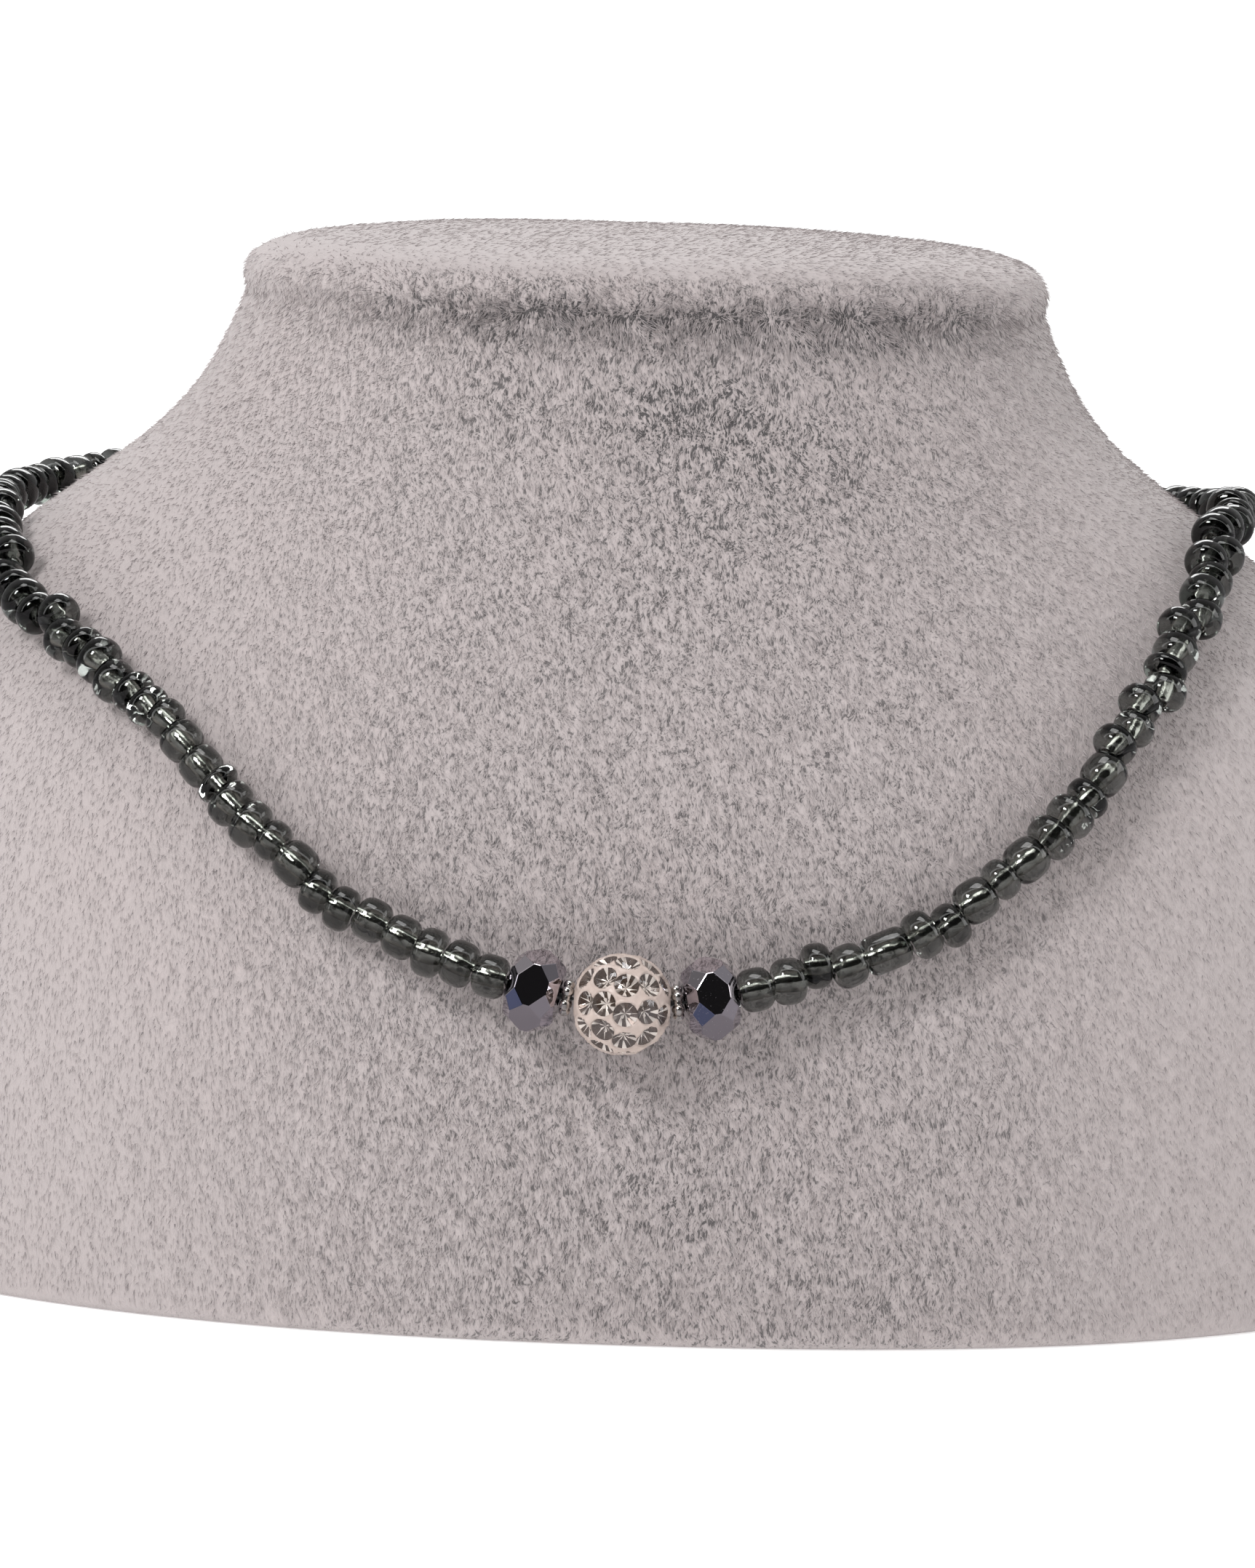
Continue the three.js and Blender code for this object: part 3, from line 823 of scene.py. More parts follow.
@dataclass
class Pile:
    """The short pile of the plush: leaning tufts grown over the backing, one piece for each tone."""

    length: float = 0.85 * MM
    width: float = 0.046 * MM
    clump: float = 330.0
    curl: float = 1100.0
    tuft: float = 2300.0
    lean_share: float = 1.7
    stray: float = 0.28
    shortest: float = 0.7
    longest: float = 1.15
    tree: Grower | None = field(default=None, repr=False)

    def build_tree(self) -> None:
        """Builds the tree that scatters tufts by the backing's combing."""
        tree = Grower("pile")
        density = tree.input("Tufts to a square metre")
        length, width = tree.input("Length"), tree.input("Width")
        clump, curl = tree.input("Clumps to a metre"), tree.input("Curls to a metre")
        seed = tree.input("Seed", "NodeSocketInt")
        kept = tree.input("Kept to ruffled places")
        tuft = tree.input("Tufts to a metre")
        crests = tree.input("Kept to crests")
        place = tree.out("GeometryNodeInputPosition")
        ruffle = tree.carried("ruffle")
        squat = tree.vector("MULTIPLY", place, (1.0, 1.0, 0.45))
        crest = tree.out("ShaderNodeTexNoise", {}, {"Vector": squat, "Scale": tuft, "Detail": 2.0})
        gathered = (crest - 0.5) * crests * ruffle + 0.7
        ruffled = (ruffle - 1.0) * kept + 1.0
        thick = density * tree.carried("room") * ruffled * gathered.clamped()
        values = {"Mesh": tree.given, "Density": thick, "Seed": seed}
        spread = tree.out("GeometryNodeDistributePointsOnFaces", {}, values)

        lean = tree.vector("SCALE", tree.mist(place, clump, 1.0), self.lean_share)
        wander = tree.vector("ADD", lean, tree.mist(place, curl, 1.0))
        wander = tree.vector("SCALE", wander, ruffle)
        values = {0: (-self.stray,) * 3, 1: (self.stray,) * 3, "Seed": seed}
        stray = tree.out("FunctionNodeRandomValue", {"data_type": "FLOAT_VECTOR"}, values)
        way = tree.vector("ADD", tree.carried("lie", "FLOAT_VECTOR"), wander)
        way = tree.vector("ADD", way, stray)
        values = {2: self.shortest, 3: self.longest, "Seed": seed}
        tall = tree.out("FunctionNodeRandomValue", {"data_type": "FLOAT"}, values, 1)
        tall = tall * tree.carried("tall") * length
        values = {"Vertices": 3, "Radius Top": 0.0, "Radius Bottom": 1.0, "Depth": 1.0}
        values = {
            "Points": spread,
            "Instance": tree.out("GeometryNodeMeshCone", {"fill_type": "NONE"}, values),
            "Rotation": tree.out("FunctionNodeAlignRotationToVector", {"axis": "Z"}, {"Vector": way}),
            "Scale": tree.out("ShaderNodeCombineXYZ", {}, {0: width, 1: width, 2: tall}),
        }
        tree.finish(tree.out("GeometryNodeInstanceOnPoints", {}, values))
        self.tree = tree

    def build(self, backing: Object, row: dict[str, Any], material: Material) -> Object:
        """Grows the tufts of one tone.

        Args:
            backing: the combed backing.
            row: the tone's row in the table.
            material: their finish.

        Returns:
            The piece.
        """
        if self.tree is None:
            self.build_tree()
        values = {
            "Material": material,
            "Tufts to a square metre": row["density"],
            "Kept to ruffled places": row["kept"],
            "Tufts to a metre": self.tuft,
            "Kept to crests": row["crests"],
            "Length": self.length,
            "Width": self.width,
            "Clumps to a metre": self.clump,
            "Curls to a metre": self.curl,
            "Seed": row["seed"],
        }
        return self.tree.grow(backing, row["name"], values)


@dataclass
class Place:
    """A place on the necklace's route, with its directions."""

    point: Vector
    onward: Vector
    outward: Vector
    upward: Vector

    def basis(self) -> Matrix:
        """Where a strung piece sits: its X runs along the thread and its -Y faces out."""
        turn = Matrix((self.onward, -self.outward, self.upward)).transposed().to_4x4()
        return Matrix.Translation(self.point) @ turn


class Route:
    """The necklace's route round the form, measured from the middle of the ball."""

    def __init__(self, form: NeckForm, ball: float, crystal: float, seat: float) -> None:
        """Measures the route.

        Args:
            form: the form that it lies on.
            ball: the ball's diameter.
            crystal: the crystals' diameter.
            seat: the beads' diameter where they rest.
        """
        self.form = form
        self.stand_off = table(
            "turn radius",
            (0, ball / 2),
            (4.5, crystal / 2 + REST_GAP),
            (9, (crystal + 2 * seat) / 6 + REST_GAP),
            (15, seat / 2),
            (180, seat / 2),
        )
        steps = int(360 / ROUTE_STEP)
        self.turns = [-180 + index * ROUTE_STEP for index in range(steps + 1)]
        points = [self.spot(turn)[0] for turn in self.turns]
        self.lengths = [0.0]
        for before, after in zip(points, points[1:]):
            self.lengths.append(self.lengths[-1] + (after - before).length)
        self.front = self.lengths[steps // 2]
        self.length = self.lengths[-1]

    def spot(self, degrees: float) -> tuple[Vector, Vector]:
        """The route's point and the form's outward direction at a turn in degrees."""
        turn = math.radians(degrees)
        height = self.form.seam_height - read_table(ROUTE, "drop", degrees) * MM
        off = read_table(self.stand_off, "radius", abs(degrees)) + REST_GAP
        normal = self.form.body_normal(turn, height)
        return self.form.body_point(turn, height) + normal * off, normal

    def at(self, distance: float) -> Place:
        """Finds a place on the route.

        Args:
            distance: metres from the ball along the thread, negative to the left.

        Returns:
            The place, with onward to the right, outward off the form and upward to the neck.
        """
        target = self.front + distance
        index = int(np.searchsorted(self.lengths, target))
        index = min(max(index, 1), len(self.lengths) - 1)
        span = self.lengths[index] - self.lengths[index - 1]
        degrees = self.turns[index - 1] + (target - self.lengths[index - 1]) / span * ROUTE_STEP
        before = self.spot(max(degrees - ROUTE_STEP, -180))[0]
        after = self.spot(min(degrees + ROUTE_STEP, 180))[0]
        point, normal = self.spot(degrees)
        onward = (after - before).normalized()
        outward = (normal - onward * normal.dot(onward)).normalized()
        return Place(point, onward, outward, outward.cross(onward))


class Strung:
    """A piece on the thread, made round X and then put in its place."""

    smooth = True

    def make_work(self) -> BMesh:
        """The piece's mesh work, in its own frame."""
        raise NotImplementedError

    def build(self, name: str, place: Place, material: Material) -> Object:
        """Makes the piece.

        Args:
            name: its name.
            place: where it is strung.
            material: its finish.

        Returns:
            The piece.
        """
        work = self.make_work()
        work.transform(place.basis())
        return linked(name, shaped(name, work, self.smooth), material)


@dataclass
class Ball(Strung):
    """The clay ball and the cut stones set in it."""

    diameter: float = 10 * MM
    flat_to_flat: float = 9.3 * MM
    hole: float = 1.7 * MM
    stone: float = 2.4 * MM
    crown: float = 0.3 * MM
    table: float = 0.56
    pavilion: float = 0.72 * MM
    rim: float = 0.2 * MM
    web_height: float = 0.2 * MM
    cup_depth: float = 1.15 * MM
    cup_slope: float = 0.16 * MM
    skin: float = 0.07 * MM
    lump: float = 0.05 * MM
    sunk: float = 0.1 * MM
    drill_edge: float = 0.3 * MM
    drill_depth: float = 0.9 * MM
    star: int = 16
    lumps: float = 900
    twist_seed: int = 7

    @property
    def clay_radius(self) -> float:
        """Radius of the clay under the stones' crowns."""
        return self.diameter / 2 - self.crown

    def seats(self) -> list[tuple[Vector, float]]:
        """The direction and the size of each stone, in the ball's own frame."""
        found = []
        for ring in STONE_RINGS:
            spread = math.sqrt(1 - ring["along"] ** 2)
            for index in range(ring["count"]):
                angle = math.radians(ring["turn"] + index * 360 / ring["count"])
                way = Vector((ring["along"], -spread * math.cos(angle), spread * math.sin(angle)))
                found.append((way.normalized(), ring["size"]))
        return found

    def make_work(self) -> BMesh:
        """The clay, pushed up round each stone, with its drilled ends."""
        work = bmesh.new()
        bmesh.ops.create_icosphere(work, subdivisions=6, radius=self.clay_radius)
        ways = np.array([way for way, _ in self.seats()])
        reaches = np.array([size * self.stone / 2 for _, size in self.seats()])
        half = self.flat_to_flat / 2
        for vert in work.verts:
            way = vert.co.normalized()
            gaps = np.linalg.norm(ways - np.array(way), axis=1) * self.clay_radius
            nearest = float((gaps - reaches).min())
            raised = self.web_height * hill(max(nearest, 0.0), 0, self.rim)
            cup = self.cup_depth * min(1.0, max(0.0, (0.02 * MM - nearest) / self.cup_slope))
            lump = self.lump * noise.noise(vert.co * self.lumps)
            vert.co = way * (self.clay_radius + self.skin + raised - cup + lump)
            vert.co.x = min(max(vert.co.x, -half), half)
            from_axis = math.hypot(vert.co.y, vert.co.z)
            if abs(vert.co.x) > half - self.drill_edge and from_axis < self.hole / 2:
                vert.co.x -= math.copysign(self.drill_depth, vert.co.x)
        return work

    def _crown_work(self) -> BMesh:
        """The clear crown of one stone of unit girdle radius: table up Z, flat below."""
        work = bmesh.new()
        height = self.crown / (self.stone / 2)
        rings = [
            (8, 0.5, self.table, height),
            (8, 0.0, 0.80, height * 0.62),
            (16, 0.25, 1.0, 0.05),
            (16, 0.25, 1.0, 0.0),
        ]
        for count, offset, radius, level in rings:
            for index in range(count):
                angle = 2 * math.pi * (index + offset) / count
                work.verts.new((radius * math.cos(angle), radius * math.sin(angle), level))
        bmesh.ops.convex_hull(work, input=work.verts)
        bmesh.ops.dissolve_limit(work, angle_limit=0.01, verts=work.verts, edges=work.edges)
        return work

    def _foil_work(self) -> BMesh:
        """The foiled pavilion of one stone: a closed star of narrow facets that sinks to its point."""
        work = bmesh.new()
        depth = self.pavilion / (self.stone / 2)
        tone = work.faces.layers.float.new("tone")
        rim, mid = [], []
        for index in range(self.star):
            angle = 2 * math.pi * index / self.star
            reach = 0.54 if index % 2 else 0.44
            rim.append(work.verts.new((math.cos(angle), math.sin(angle), -0.02)))
            mid.append(work.verts.new((reach * math.cos(angle), reach * math.sin(angle), -depth * 0.62)))
        point = work.verts.new((0, 0, -depth))
        under = work.verts.new((0, 0, -depth - 0.1))
        for index in range(self.star):
            nxt = (index + 1) % self.star
            # Painted reflections: each facet's tone sets how bright or dark the foil's finish paints it
            tones = ((index * 0.618) % 1.0, (index * 0.382 + 0.45) % 1.0)
            for corners, value in (
                ((rim[index], rim[nxt], mid[index]), tones[0]),
                ((rim[nxt], mid[nxt], mid[index]), tones[0]),
                ((mid[index], mid[nxt], point), tones[1]),
                ((rim[nxt], rim[index], under), 0.0),
            ):
                face = work.faces.new(corners)
                face[tone] = value
        return work

    def build_stones(self, place: Place, glass: Material, foil: Material) -> list[Object]:
        """Sets the stones and their foil backs by a tree over the seats.

        Args:
            place: where the ball hangs.
            glass: the stones' finish.
            foil: the foils' finish.

        Returns:
            The stones and the foils.
        """
        ways = self.seats()
        lift = self.clay_radius - self.sunk
        basis = place.basis()
        random = np.random.default_rng(self.twist_seed)
        turns = []
        for way, _ in ways:
            twist = Matrix.Rotation(random.uniform(0, math.pi), 3, "Z").to_quaternion()
            turns.append((basis.to_3x3() @ way).to_track_quat("Z", "Y") @ twist)
        points = [basis @ (way * lift) for way, _ in ways]
        sizes = [(size * self.stone / 2,) * 3 for _, size in ways]
        carrier = point_carrier(points, turns, sizes, [0] * len(ways))
        stone = linked("cut_stone", shaped("cut_stone", self._crown_work(), smooth=False))
        cup = linked("foil_cup", shaped("foil_cup", self._foil_work(), smooth=False))
        made = [
            strewn("pave_stones", carrier, [stone], glass),
            strewn("stone_foils", carrier, [cup], foil),
        ]
        discard((carrier, stone, cup))
        return made


@dataclass
class Crystal(Strung):
    """A faceted rondelle of dark mirror glass."""

    diameter: float = 8.2 * MM
    thickness: float = 5 * MM
    hole: float = 1.7 * MM
    facets: int = 6
    turn: float = 8
    hole_sides: int = 24
    polish: float = 0.04 * MM
    speckled: float = 0.0
    smooth = False

    def facet_rows(self) -> list[dict[str, float]]:
        """Rows of facets: slope towards the ends in degrees, turn in steps, reach of the cut."""
        radius = self.diameter / 2
        rows = [{"slope": 0, "turn": 0.0, "reach": radius * 0.866}]
        for slope, turn, reach in ((30, 0.5, 0.905), (54, 0.0, 0.815)):
            rows.append({"slope": slope, "turn": turn, "reach": radius * reach})
            rows.append({"slope": -slope, "turn": turn, "reach": radius * reach})
        return rows

    def make_work(self) -> BMesh:
        """The cut and drilled crystal, each facet with its own tone, and the facets that face down and to
        the left given a painted blue reflection.
        """
        work = bmesh.new()
        bmesh.ops.create_cube(work, size=1.0)
        bmesh.ops.scale(work, vec=(self.thickness, 2 * self.diameter, 2 * self.diameter), verts=work.verts)
        step = 2 * math.pi / self.facets
        for row in self.facet_rows():
            slope = math.radians(row["slope"])
            for facet in range(self.facets):
                angle = (facet + row["turn"]) * step + math.radians(self.turn)
                side = math.cos(slope)
                way = Vector((math.sin(slope), -side * math.cos(angle), side * math.sin(angle)))
                self._cut(work, way, row["reach"])
        bmesh.ops.remove_doubles(work, verts=work.verts, dist=0.01 * MM)
        self._drill(work)
        tone = work.faces.layers.float.new("tone")
        speck = work.faces.layers.float.new("speckled")
        work.normal_update()
        for index, face in enumerate(work.faces):
            # Painted reflection: facets facing down and to the left get the full blue tone
            painted_blue_reflection = face.normal.x < -0.3 and face.normal.y < -0.4 and -0.6 < face.normal.z < -0.1
            face[tone] = 0.95 if painted_blue_reflection else (index * 0.618) % 0.45
            face[speck] = self.speckled
        return work

    def build(self, name: str, place: Place, material: Material) -> Object:
        """Makes the crystal and polishes its edges.

        Args:
            name: its name.
            place: where it is strung.
            material: its finish.

        Returns:
            The piece.
        """
        piece = super().build(name, place, material)
        bevel = piece.modifiers.new("polished_edges", "BEVEL")
        bevel.width = self.polish
        bevel.segments = 1
        bevel.limit_method = "ANGLE"
        bevel.angle_limit = math.radians(12)
        return piece

    @staticmethod
    def _cut(work: BMesh, way: Vector, reach: float) -> None:
        """Grinds one facet.

        Args:
            work: the crystal so far.
            way: the facet's outward direction.
            reach: its distance from the middle.
        """
        everything = [*work.verts, *work.edges, *work.faces]
        cut = bmesh.ops.bisect_plane(
            work, geom=everything, plane_co=way * reach, plane_no=way, clear_outer=True
        )
        rim = [edge for edge in cut["geom_cut"] if isinstance(edge, BMEdge)]
        if rim:
            bmesh.ops.contextual_create(work, geom=rim)

    def _drill(self, work: BMesh) -> None:
        """Opens the hole: a ring in each end face, joined by the bore's wall."""
        work.faces.ensure_lookup_table()
        half = self.thickness / 2
        rings = []
        for way in (-1, 1):
            ends = [f for f in work.faces if abs(f.calc_center_median().x - way * half) < 0.02 * MM]
            end = max(ends, key=lambda f: f.calc_area())
            outline = list(end.verts)
            ring = circle(work, way * half, self.hole / 2, self.hole_sides)
            rings.append(ring)
            bmesh.ops.delete(work, geom=[end], context="FACES_ONLY")
            edges = [work.edges.new((a, b)) for a, b in zip(ring, ring[1:] + ring[:1])]
            border = [work.edges.get((a, b)) for a, b in zip(outline, outline[1:] + outline[:1])]
            bmesh.ops.triangle_fill(work, use_beauty=True, edges=edges + border)
        reach = self.hole / 2 * 1.01
        inner = [f for f in work.faces if all(math.hypot(v.co.y, v.co.z) < reach for v in f.verts)]
        bmesh.ops.delete(work, geom=inner, context="FACES_ONLY")
        bridge(work, *rings)


@dataclass
class Spacer(Strung):
    """A small granulated silver ring between the ball and a crystal."""

    diameter: float = 3.6 * MM
    thickness: float = 1.1 * MM
    ring: float = 0.8 * MM
    hole: float = 1.7 * MM
    grain: float = 1.1 * MM
    grains: int = 6

    def make_work(self) -> BMesh:
        """The ring and its grains."""
        middle = (self.diameter - self.grain) / 2
        half = self.ring / 2
        inner = self.hole / 2
        crest = middle + 0.12 * MM
        edge = half * 0.9
        profile = [(-half, inner), (-edge, middle), (0, crest), (edge, middle), (half, inner)]
        work = lathe(profile, 48)
        for index in range(self.grains):
            angle = 2 * math.pi * (index + 0.5) / self.grains
            spot = Matrix.Translation((0, middle * math.cos(angle), middle * math.sin(angle)))
            bmesh.ops.create_icosphere(work, subdivisions=3, radius=self.grain / 2, matrix=spot)
        return work


@dataclass
class BeadString:
    """One side's beads, their silver linings, and where each one lies."""

    side: Side
    route: Route
    start: float
    end: float
    hole: float = 0.30
    lining: float = 0.315
    sides: int = 34
    rounding: float = 2.7
    tube_rounding: float = 5.5
    section_points: int = 15
    glass_share: float = 0.984
    lining_share: float = 0.94
    lining_sunk: float = 0.02

    def beads(self) -> list[dict[str, Any]]:
        """The beads in order, enough to fill the string, their lengths fitted to it."""
        order = BEAD_ORDER[self.side.value]
        room = (self.end - self.start) / MM
        kinds = {row["kind"]: row for row in BEADS}
        letters = list(order["seen"])

        def total() -> float:
            """Length of the beads so far, in millimetres."""
            return sum(kinds[letter]["length"] for letter in letters)

        while total() > room:
            letters.pop()
        index = 0
        while total() + kinds[SHORTEST_KIND]["length"] / 2 < room:
            letters.append(order["hidden"][index % len(order["hidden"])])
            index += 1
        fit = room / total()
        return [{**kinds[letter], "length": kinds[letter]["length"] * fit} for letter in letters]

    def _bead_shape(self, name: str, power: float, inner: float) -> Object:
        """A bead of unit length and unit diameter, its hole along X.

        Args:
            name: the helper's name.
            power: how square its rounding is.
            inner: radius of its hole.

        Returns:
            The helper object.
        """
        profile = []
        for index in range(self.section_points):
            angle = math.pi * index / (self.section_points - 1)
            along = -math.cos(angle)
            along = math.copysign(abs(along) ** (2 / power), along) * self.glass_share / 2
            rise = max(math.sin(angle), 0.0) ** (2 / self.rounding)
            profile.append((along, inner + (0.5 - inner) * rise))
        return linked(name, shaped(name, lathe(profile, self.sides)))

    def _carrier(self) -> Object:
        """A mesh with one vertex for each bead, which carries how it is turned, its size and shade."""
        beads = self.beads()
        points, turns, sizes = [], [], []
        reached = self.start
        random = np.random.default_rng(SPIN_SEEDS[self.side.value])
        for bead in beads:
            length = bead["length"] * MM
            place = self.route.at(self.side.way * (reached + length / 2))
            reached += length
            lean = math.radians(bead["lean"] + random.uniform(-1.5, 1.5))
            turn = Matrix.Rotation(lean, 3, place.outward)
            onward = turn @ place.onward
            upward = turn @ place.upward
            points.append(place.point + place.upward * bead["across"] * MM)
            basis = Matrix((onward, -place.outward, upward)).transposed()
            spin = Matrix.Rotation(random.uniform(0, 2 * math.pi), 3, "X")
            turns.append((basis @ spin).to_quaternion())
            sizes.append((length, bead["diameter"] * MM, bead["diameter"] * MM))
        carrier = point_carrier(points, turns, sizes, [int(bead["kind"] == TUBE_KIND) for bead in beads])
        shades = [bead["shade"] + random.uniform(-0.12, 0.12) for bead in beads]
        carry(carrier.data, "shade", "FLOAT", shades)
        return carrier

    def build(self, glass: Material, silver: Material) -> list[Object]:
        """Strings the beads.

        Args:
            glass: the beads' finish.
            silver: the linings' finish.

        Returns:
            The beads and their linings.
        """
        carrier = self._carrier()
        powers = (self.rounding, self.tube_rounding)
        beads = [self._bead_shape("bead", power, self.hole / 2) for power in powers]
        outer, half = self.lining / 2, self.lining_share / 2
        inner = self.hole / 2 - self.lining_sunk
        wall = [(-half, inner), (-half, outer), (0.0, outer), (half, outer), (half, inner), (0.0, inner)]
        linings = [linked("lining", shaped("lining", lathe(wall, 24))) for _ in beads]
        made = [
            strewn(f"glass_beads_{self.side.value}", carrier, beads, glass),
            strewn(f"bead_linings_{self.side.value}", carrier, linings, silver),
        ]
        discard((carrier, *beads, *linings))
        return made


@dataclass
class Thread:
    """The twisted thread that carries every bead."""

    route: Route
    diameter: float = 0.7 * MM
    step: float = 0.9 * MM
    twists: float = 520.0
    flatness: float = 0.62

    def build(self, material: Material) -> Object:
        """Lays the thread round the whole route.

        Args:
            material: its finish.

        Returns:
            The piece.
        """
        count = int(self.route.length / self.step)
        mesh = bpy.data.meshes.new("thread_line")
        start = -self.route.front + 0.5 * MM
        reach = self.route.length - 1.0 * MM
        points = [self.route.at(start + reach * index / count).point for index in range(count + 1)]
        mesh.from_pydata(points, [(index, index + 1) for index in range(count)], [])
        carrier = linked("thread_line", mesh)
        tree = Grower("thread")
        radius, twists = tree.input("Radius"), tree.input("Twists to a metre")
        curve = tree.out("GeometryNodeMeshToCurve", {}, {"Mesh": tree.given})
        tilt = tree.out("GeometryNodeSplineParameter", output="Length") * twists * (2 * math.pi)
        twisted = tree.out("GeometryNodeSetCurveTilt", {}, {"Curve": curve, "Tilt": tilt})
        values = {"Resolution": 12, "Radius": radius}
        section = tree.out("GeometryNodeCurvePrimitiveCircle", {"mode": "RADIUS"}, values)
        values = {"Geometry": section, "Scale": (1.0, self.flatness, 1.0)}
        squeezed = tree.out("GeometryNodeTransform", {}, values)
        values = {"Curve": twisted, "Profile Curve": squeezed, "Fill Caps": True}
        tree.finish(tree.out("GeometryNodeCurveToMesh", {}, values))
        values = {"Material": material, "Radius": self.diameter / 2, "Twists to a metre": self.twists}
        piece = tree.grow(carrier, "bead_thread", values)
        discard((carrier,))
        return piece


@dataclass
class Clasp(Strung):
    """The barrel clasp at the nape."""

    diameter: float = 4.4 * MM
    collar: float = 2.8 * MM
    collar_length: float = 1.6 * MM
    length: float = 12 * MM
    hole: float = 0.9 * MM
    sides: int = 48

    def make_work(self) -> BMesh:
        """The barrel with its collars and the line where its halves screw together."""
        half = self.length / 2
        barrel = half - self.collar_length
        outer, neck, bore = self.diameter / 2, self.collar / 2, self.hole / 2
        slot, bead = 0.12 * MM, 0.25 * MM
        right = [
            (0.0, outer - slot),
            (0.12 * MM, outer - slot),
            (0.2 * MM, outer - 0.03 * MM),
            (0.35 * MM, outer),
            (barrel - self.collar_length, outer),
            (barrel - self.collar_length * 0.7, outer - 0.05 * MM),
            (barrel - self.collar_length * 0.35, outer * 0.86),
            (barrel, neck),
            (barrel + 0.3 * MM, neck - 0.1 * MM),
            (barrel + 0.55 * MM, neck - 0.05 * MM),
            (half - bead, neck),
            (half - 0.05 * MM, neck - 0.12 * MM),
            (half, neck - 0.3 * MM),
            (half, bore),
        ]
        left = [(-along, radius) for along, radius in reversed(right)]
        return lathe(left[:-1] + right, self.sides)


@dataclass(frozen=True)
class PlushFinish:
    """Warm grey plush: fine strands with painted light and shade, near-black painted shade where they part,
    and the pile in several tones.
    """

    pale: tuple[float, float, float] = (0.405, 0.362, 0.360)
    grey: tuple[float, float, float] = (0.30, 0.268, 0.266)
    painted_root_shade: tuple[float, float, float] = (0.065, 0.059, 0.060)
    strand: float = 5600.0
    tuft: float = 2300.0
    lock: float = 760.0
    wander: float = 3.2 * MM

    def backing(self) -> Material:
        """The strands, combed this way and that, streaked across on the flat top, with painted light and
        shade on them and painted shade in the gaps between them.
        """
        make = Recipe("plush", Roughness=0.92, Sheen_Weight=0.2, Sheen_Roughness=0.6)
        shift = make.vector("SCALE", make.mist(make.place, 270.0, 1.5), self.wander)
        bent = make.vector("ADD", make.place, shift)
        top = make.attribute("flat_top")
        fine = make.noise(self.strand, 2, make.stretched((1, 1, 0.26), (0, 0.3, 0), bent))
        streaks = make.noise(self.strand * 0.7, 2, make.stretched((0.2, 1, 1), vector=bent))
        strands = fine * (1.0 - top) + streaks * top
        locks = make.noise(self.lock, 2, bent)
        tufts = make.noise(self.tuft, 2, make.stretched((1.0, 1.0, 0.45)))
        ruffle, painted_shade = make.attribute("ruffle"), make.attribute("painted_shade")
        level = strands + (tufts - 0.5) * ruffle * 0.9 + (locks - 0.5) * ruffle * 0.4
        # Painted shade: where the strands sink low, and along the painted-shade mask, the colour goes to
        # near black, deeper where the pile is ruffled
        painted_gap_shade = ((0.36 + ruffle * 0.07 + painted_shade * 0.15 - level) * 7.0).clamped()
        depth = (0.03 + ruffle * 0.75 + painted_shade * 0.35).clamped()
        # Painted light and shade: strands, locks and tuft crests lighter, with more contrast where the pile
        # is ruffled
        lit = (strands - 0.5) * (0.5 + ruffle * 1.5) + (locks - 0.5) * (0.3 + ruffle * 0.9)
        tone = (lit + (tufts - 0.5) * ruffle * 2.2 + 0.58 - painted_shade * 0.45).clamped()
        patch = ((make.noise(38, 2) - 0.5) * 1.5 + 0.5).clamped()
        pink = make.mixed(patch, self.pale, tuple(c * k for c, k in zip(self.pale, (1.0, 0.975, 0.97))))
        make.set(Base_Color=make.mixed(painted_gap_shade * depth, make.mixed(tone, self.grey, pink), self.painted_root_shade))
        make.bump(level, 0.22 * MM, 0.55)
        return make.material

    @staticmethod
    def pile(name: str, tone: tuple[float, float, float]) -> Material:
        """The pile in one tone."""
        looks = {"Roughness": 0.85, "Sheen_Weight": 0.25, "Sheen_Roughness": 0.5}
        return Recipe(name, Base_Color=(*tone, 1.0), **looks).material


@dataclass(frozen=True)
class GlassFinish:
    """Smoky grey-green glass of the beads and the clear glass of the stones."""

    pale: tuple[float, float, float] = (0.37, 0.395, 0.375)
    deep: tuple[float, float, float] = (0.045, 0.047, 0.043)
    clearness: float = 0.015

    def smoky(self) -> Material:
        """Bead glass, each bead with its own depth of smoke, and painted shade that darkens the side of
        each bead that faces up.
        """
        make = Recipe("smoky_glass", Roughness=self.clearness, Transmission_Weight=1.0, IOR=1.5)
        # Painted shade: the glass is darker where its surface faces up, mixed with the smoke towards the
        # deep colour
        normal = make.out("ShaderNodeNewGeometry", output="Normal")
        painted_top_shade = (make.out("ShaderNodeSeparateXYZ", {}, {0: normal}, "Z") * 1.4 - 0.15).clamped()
        shade = (make.attribute("shade") * 0.55 + painted_top_shade * 0.75).clamped()
        make.set(Base_Color=make.mixed(shade, self.pale, self.deep))
        return make.material

    def clear(self) -> Material:
        """Clear stone glass over its foil: a thin gloss on its facets."""
        make = Recipe("clear_stone", Metallic=1.0, Roughness=0.02)
        make.set(Base_Color=make.mixed(make.noise(900, 2), (1.0, 0.98, 0.96), (0.9, 0.92, 1.0)))
        make.set(Alpha=0.06 + make.noise(1400, 1) * 0.06)
        return make.material


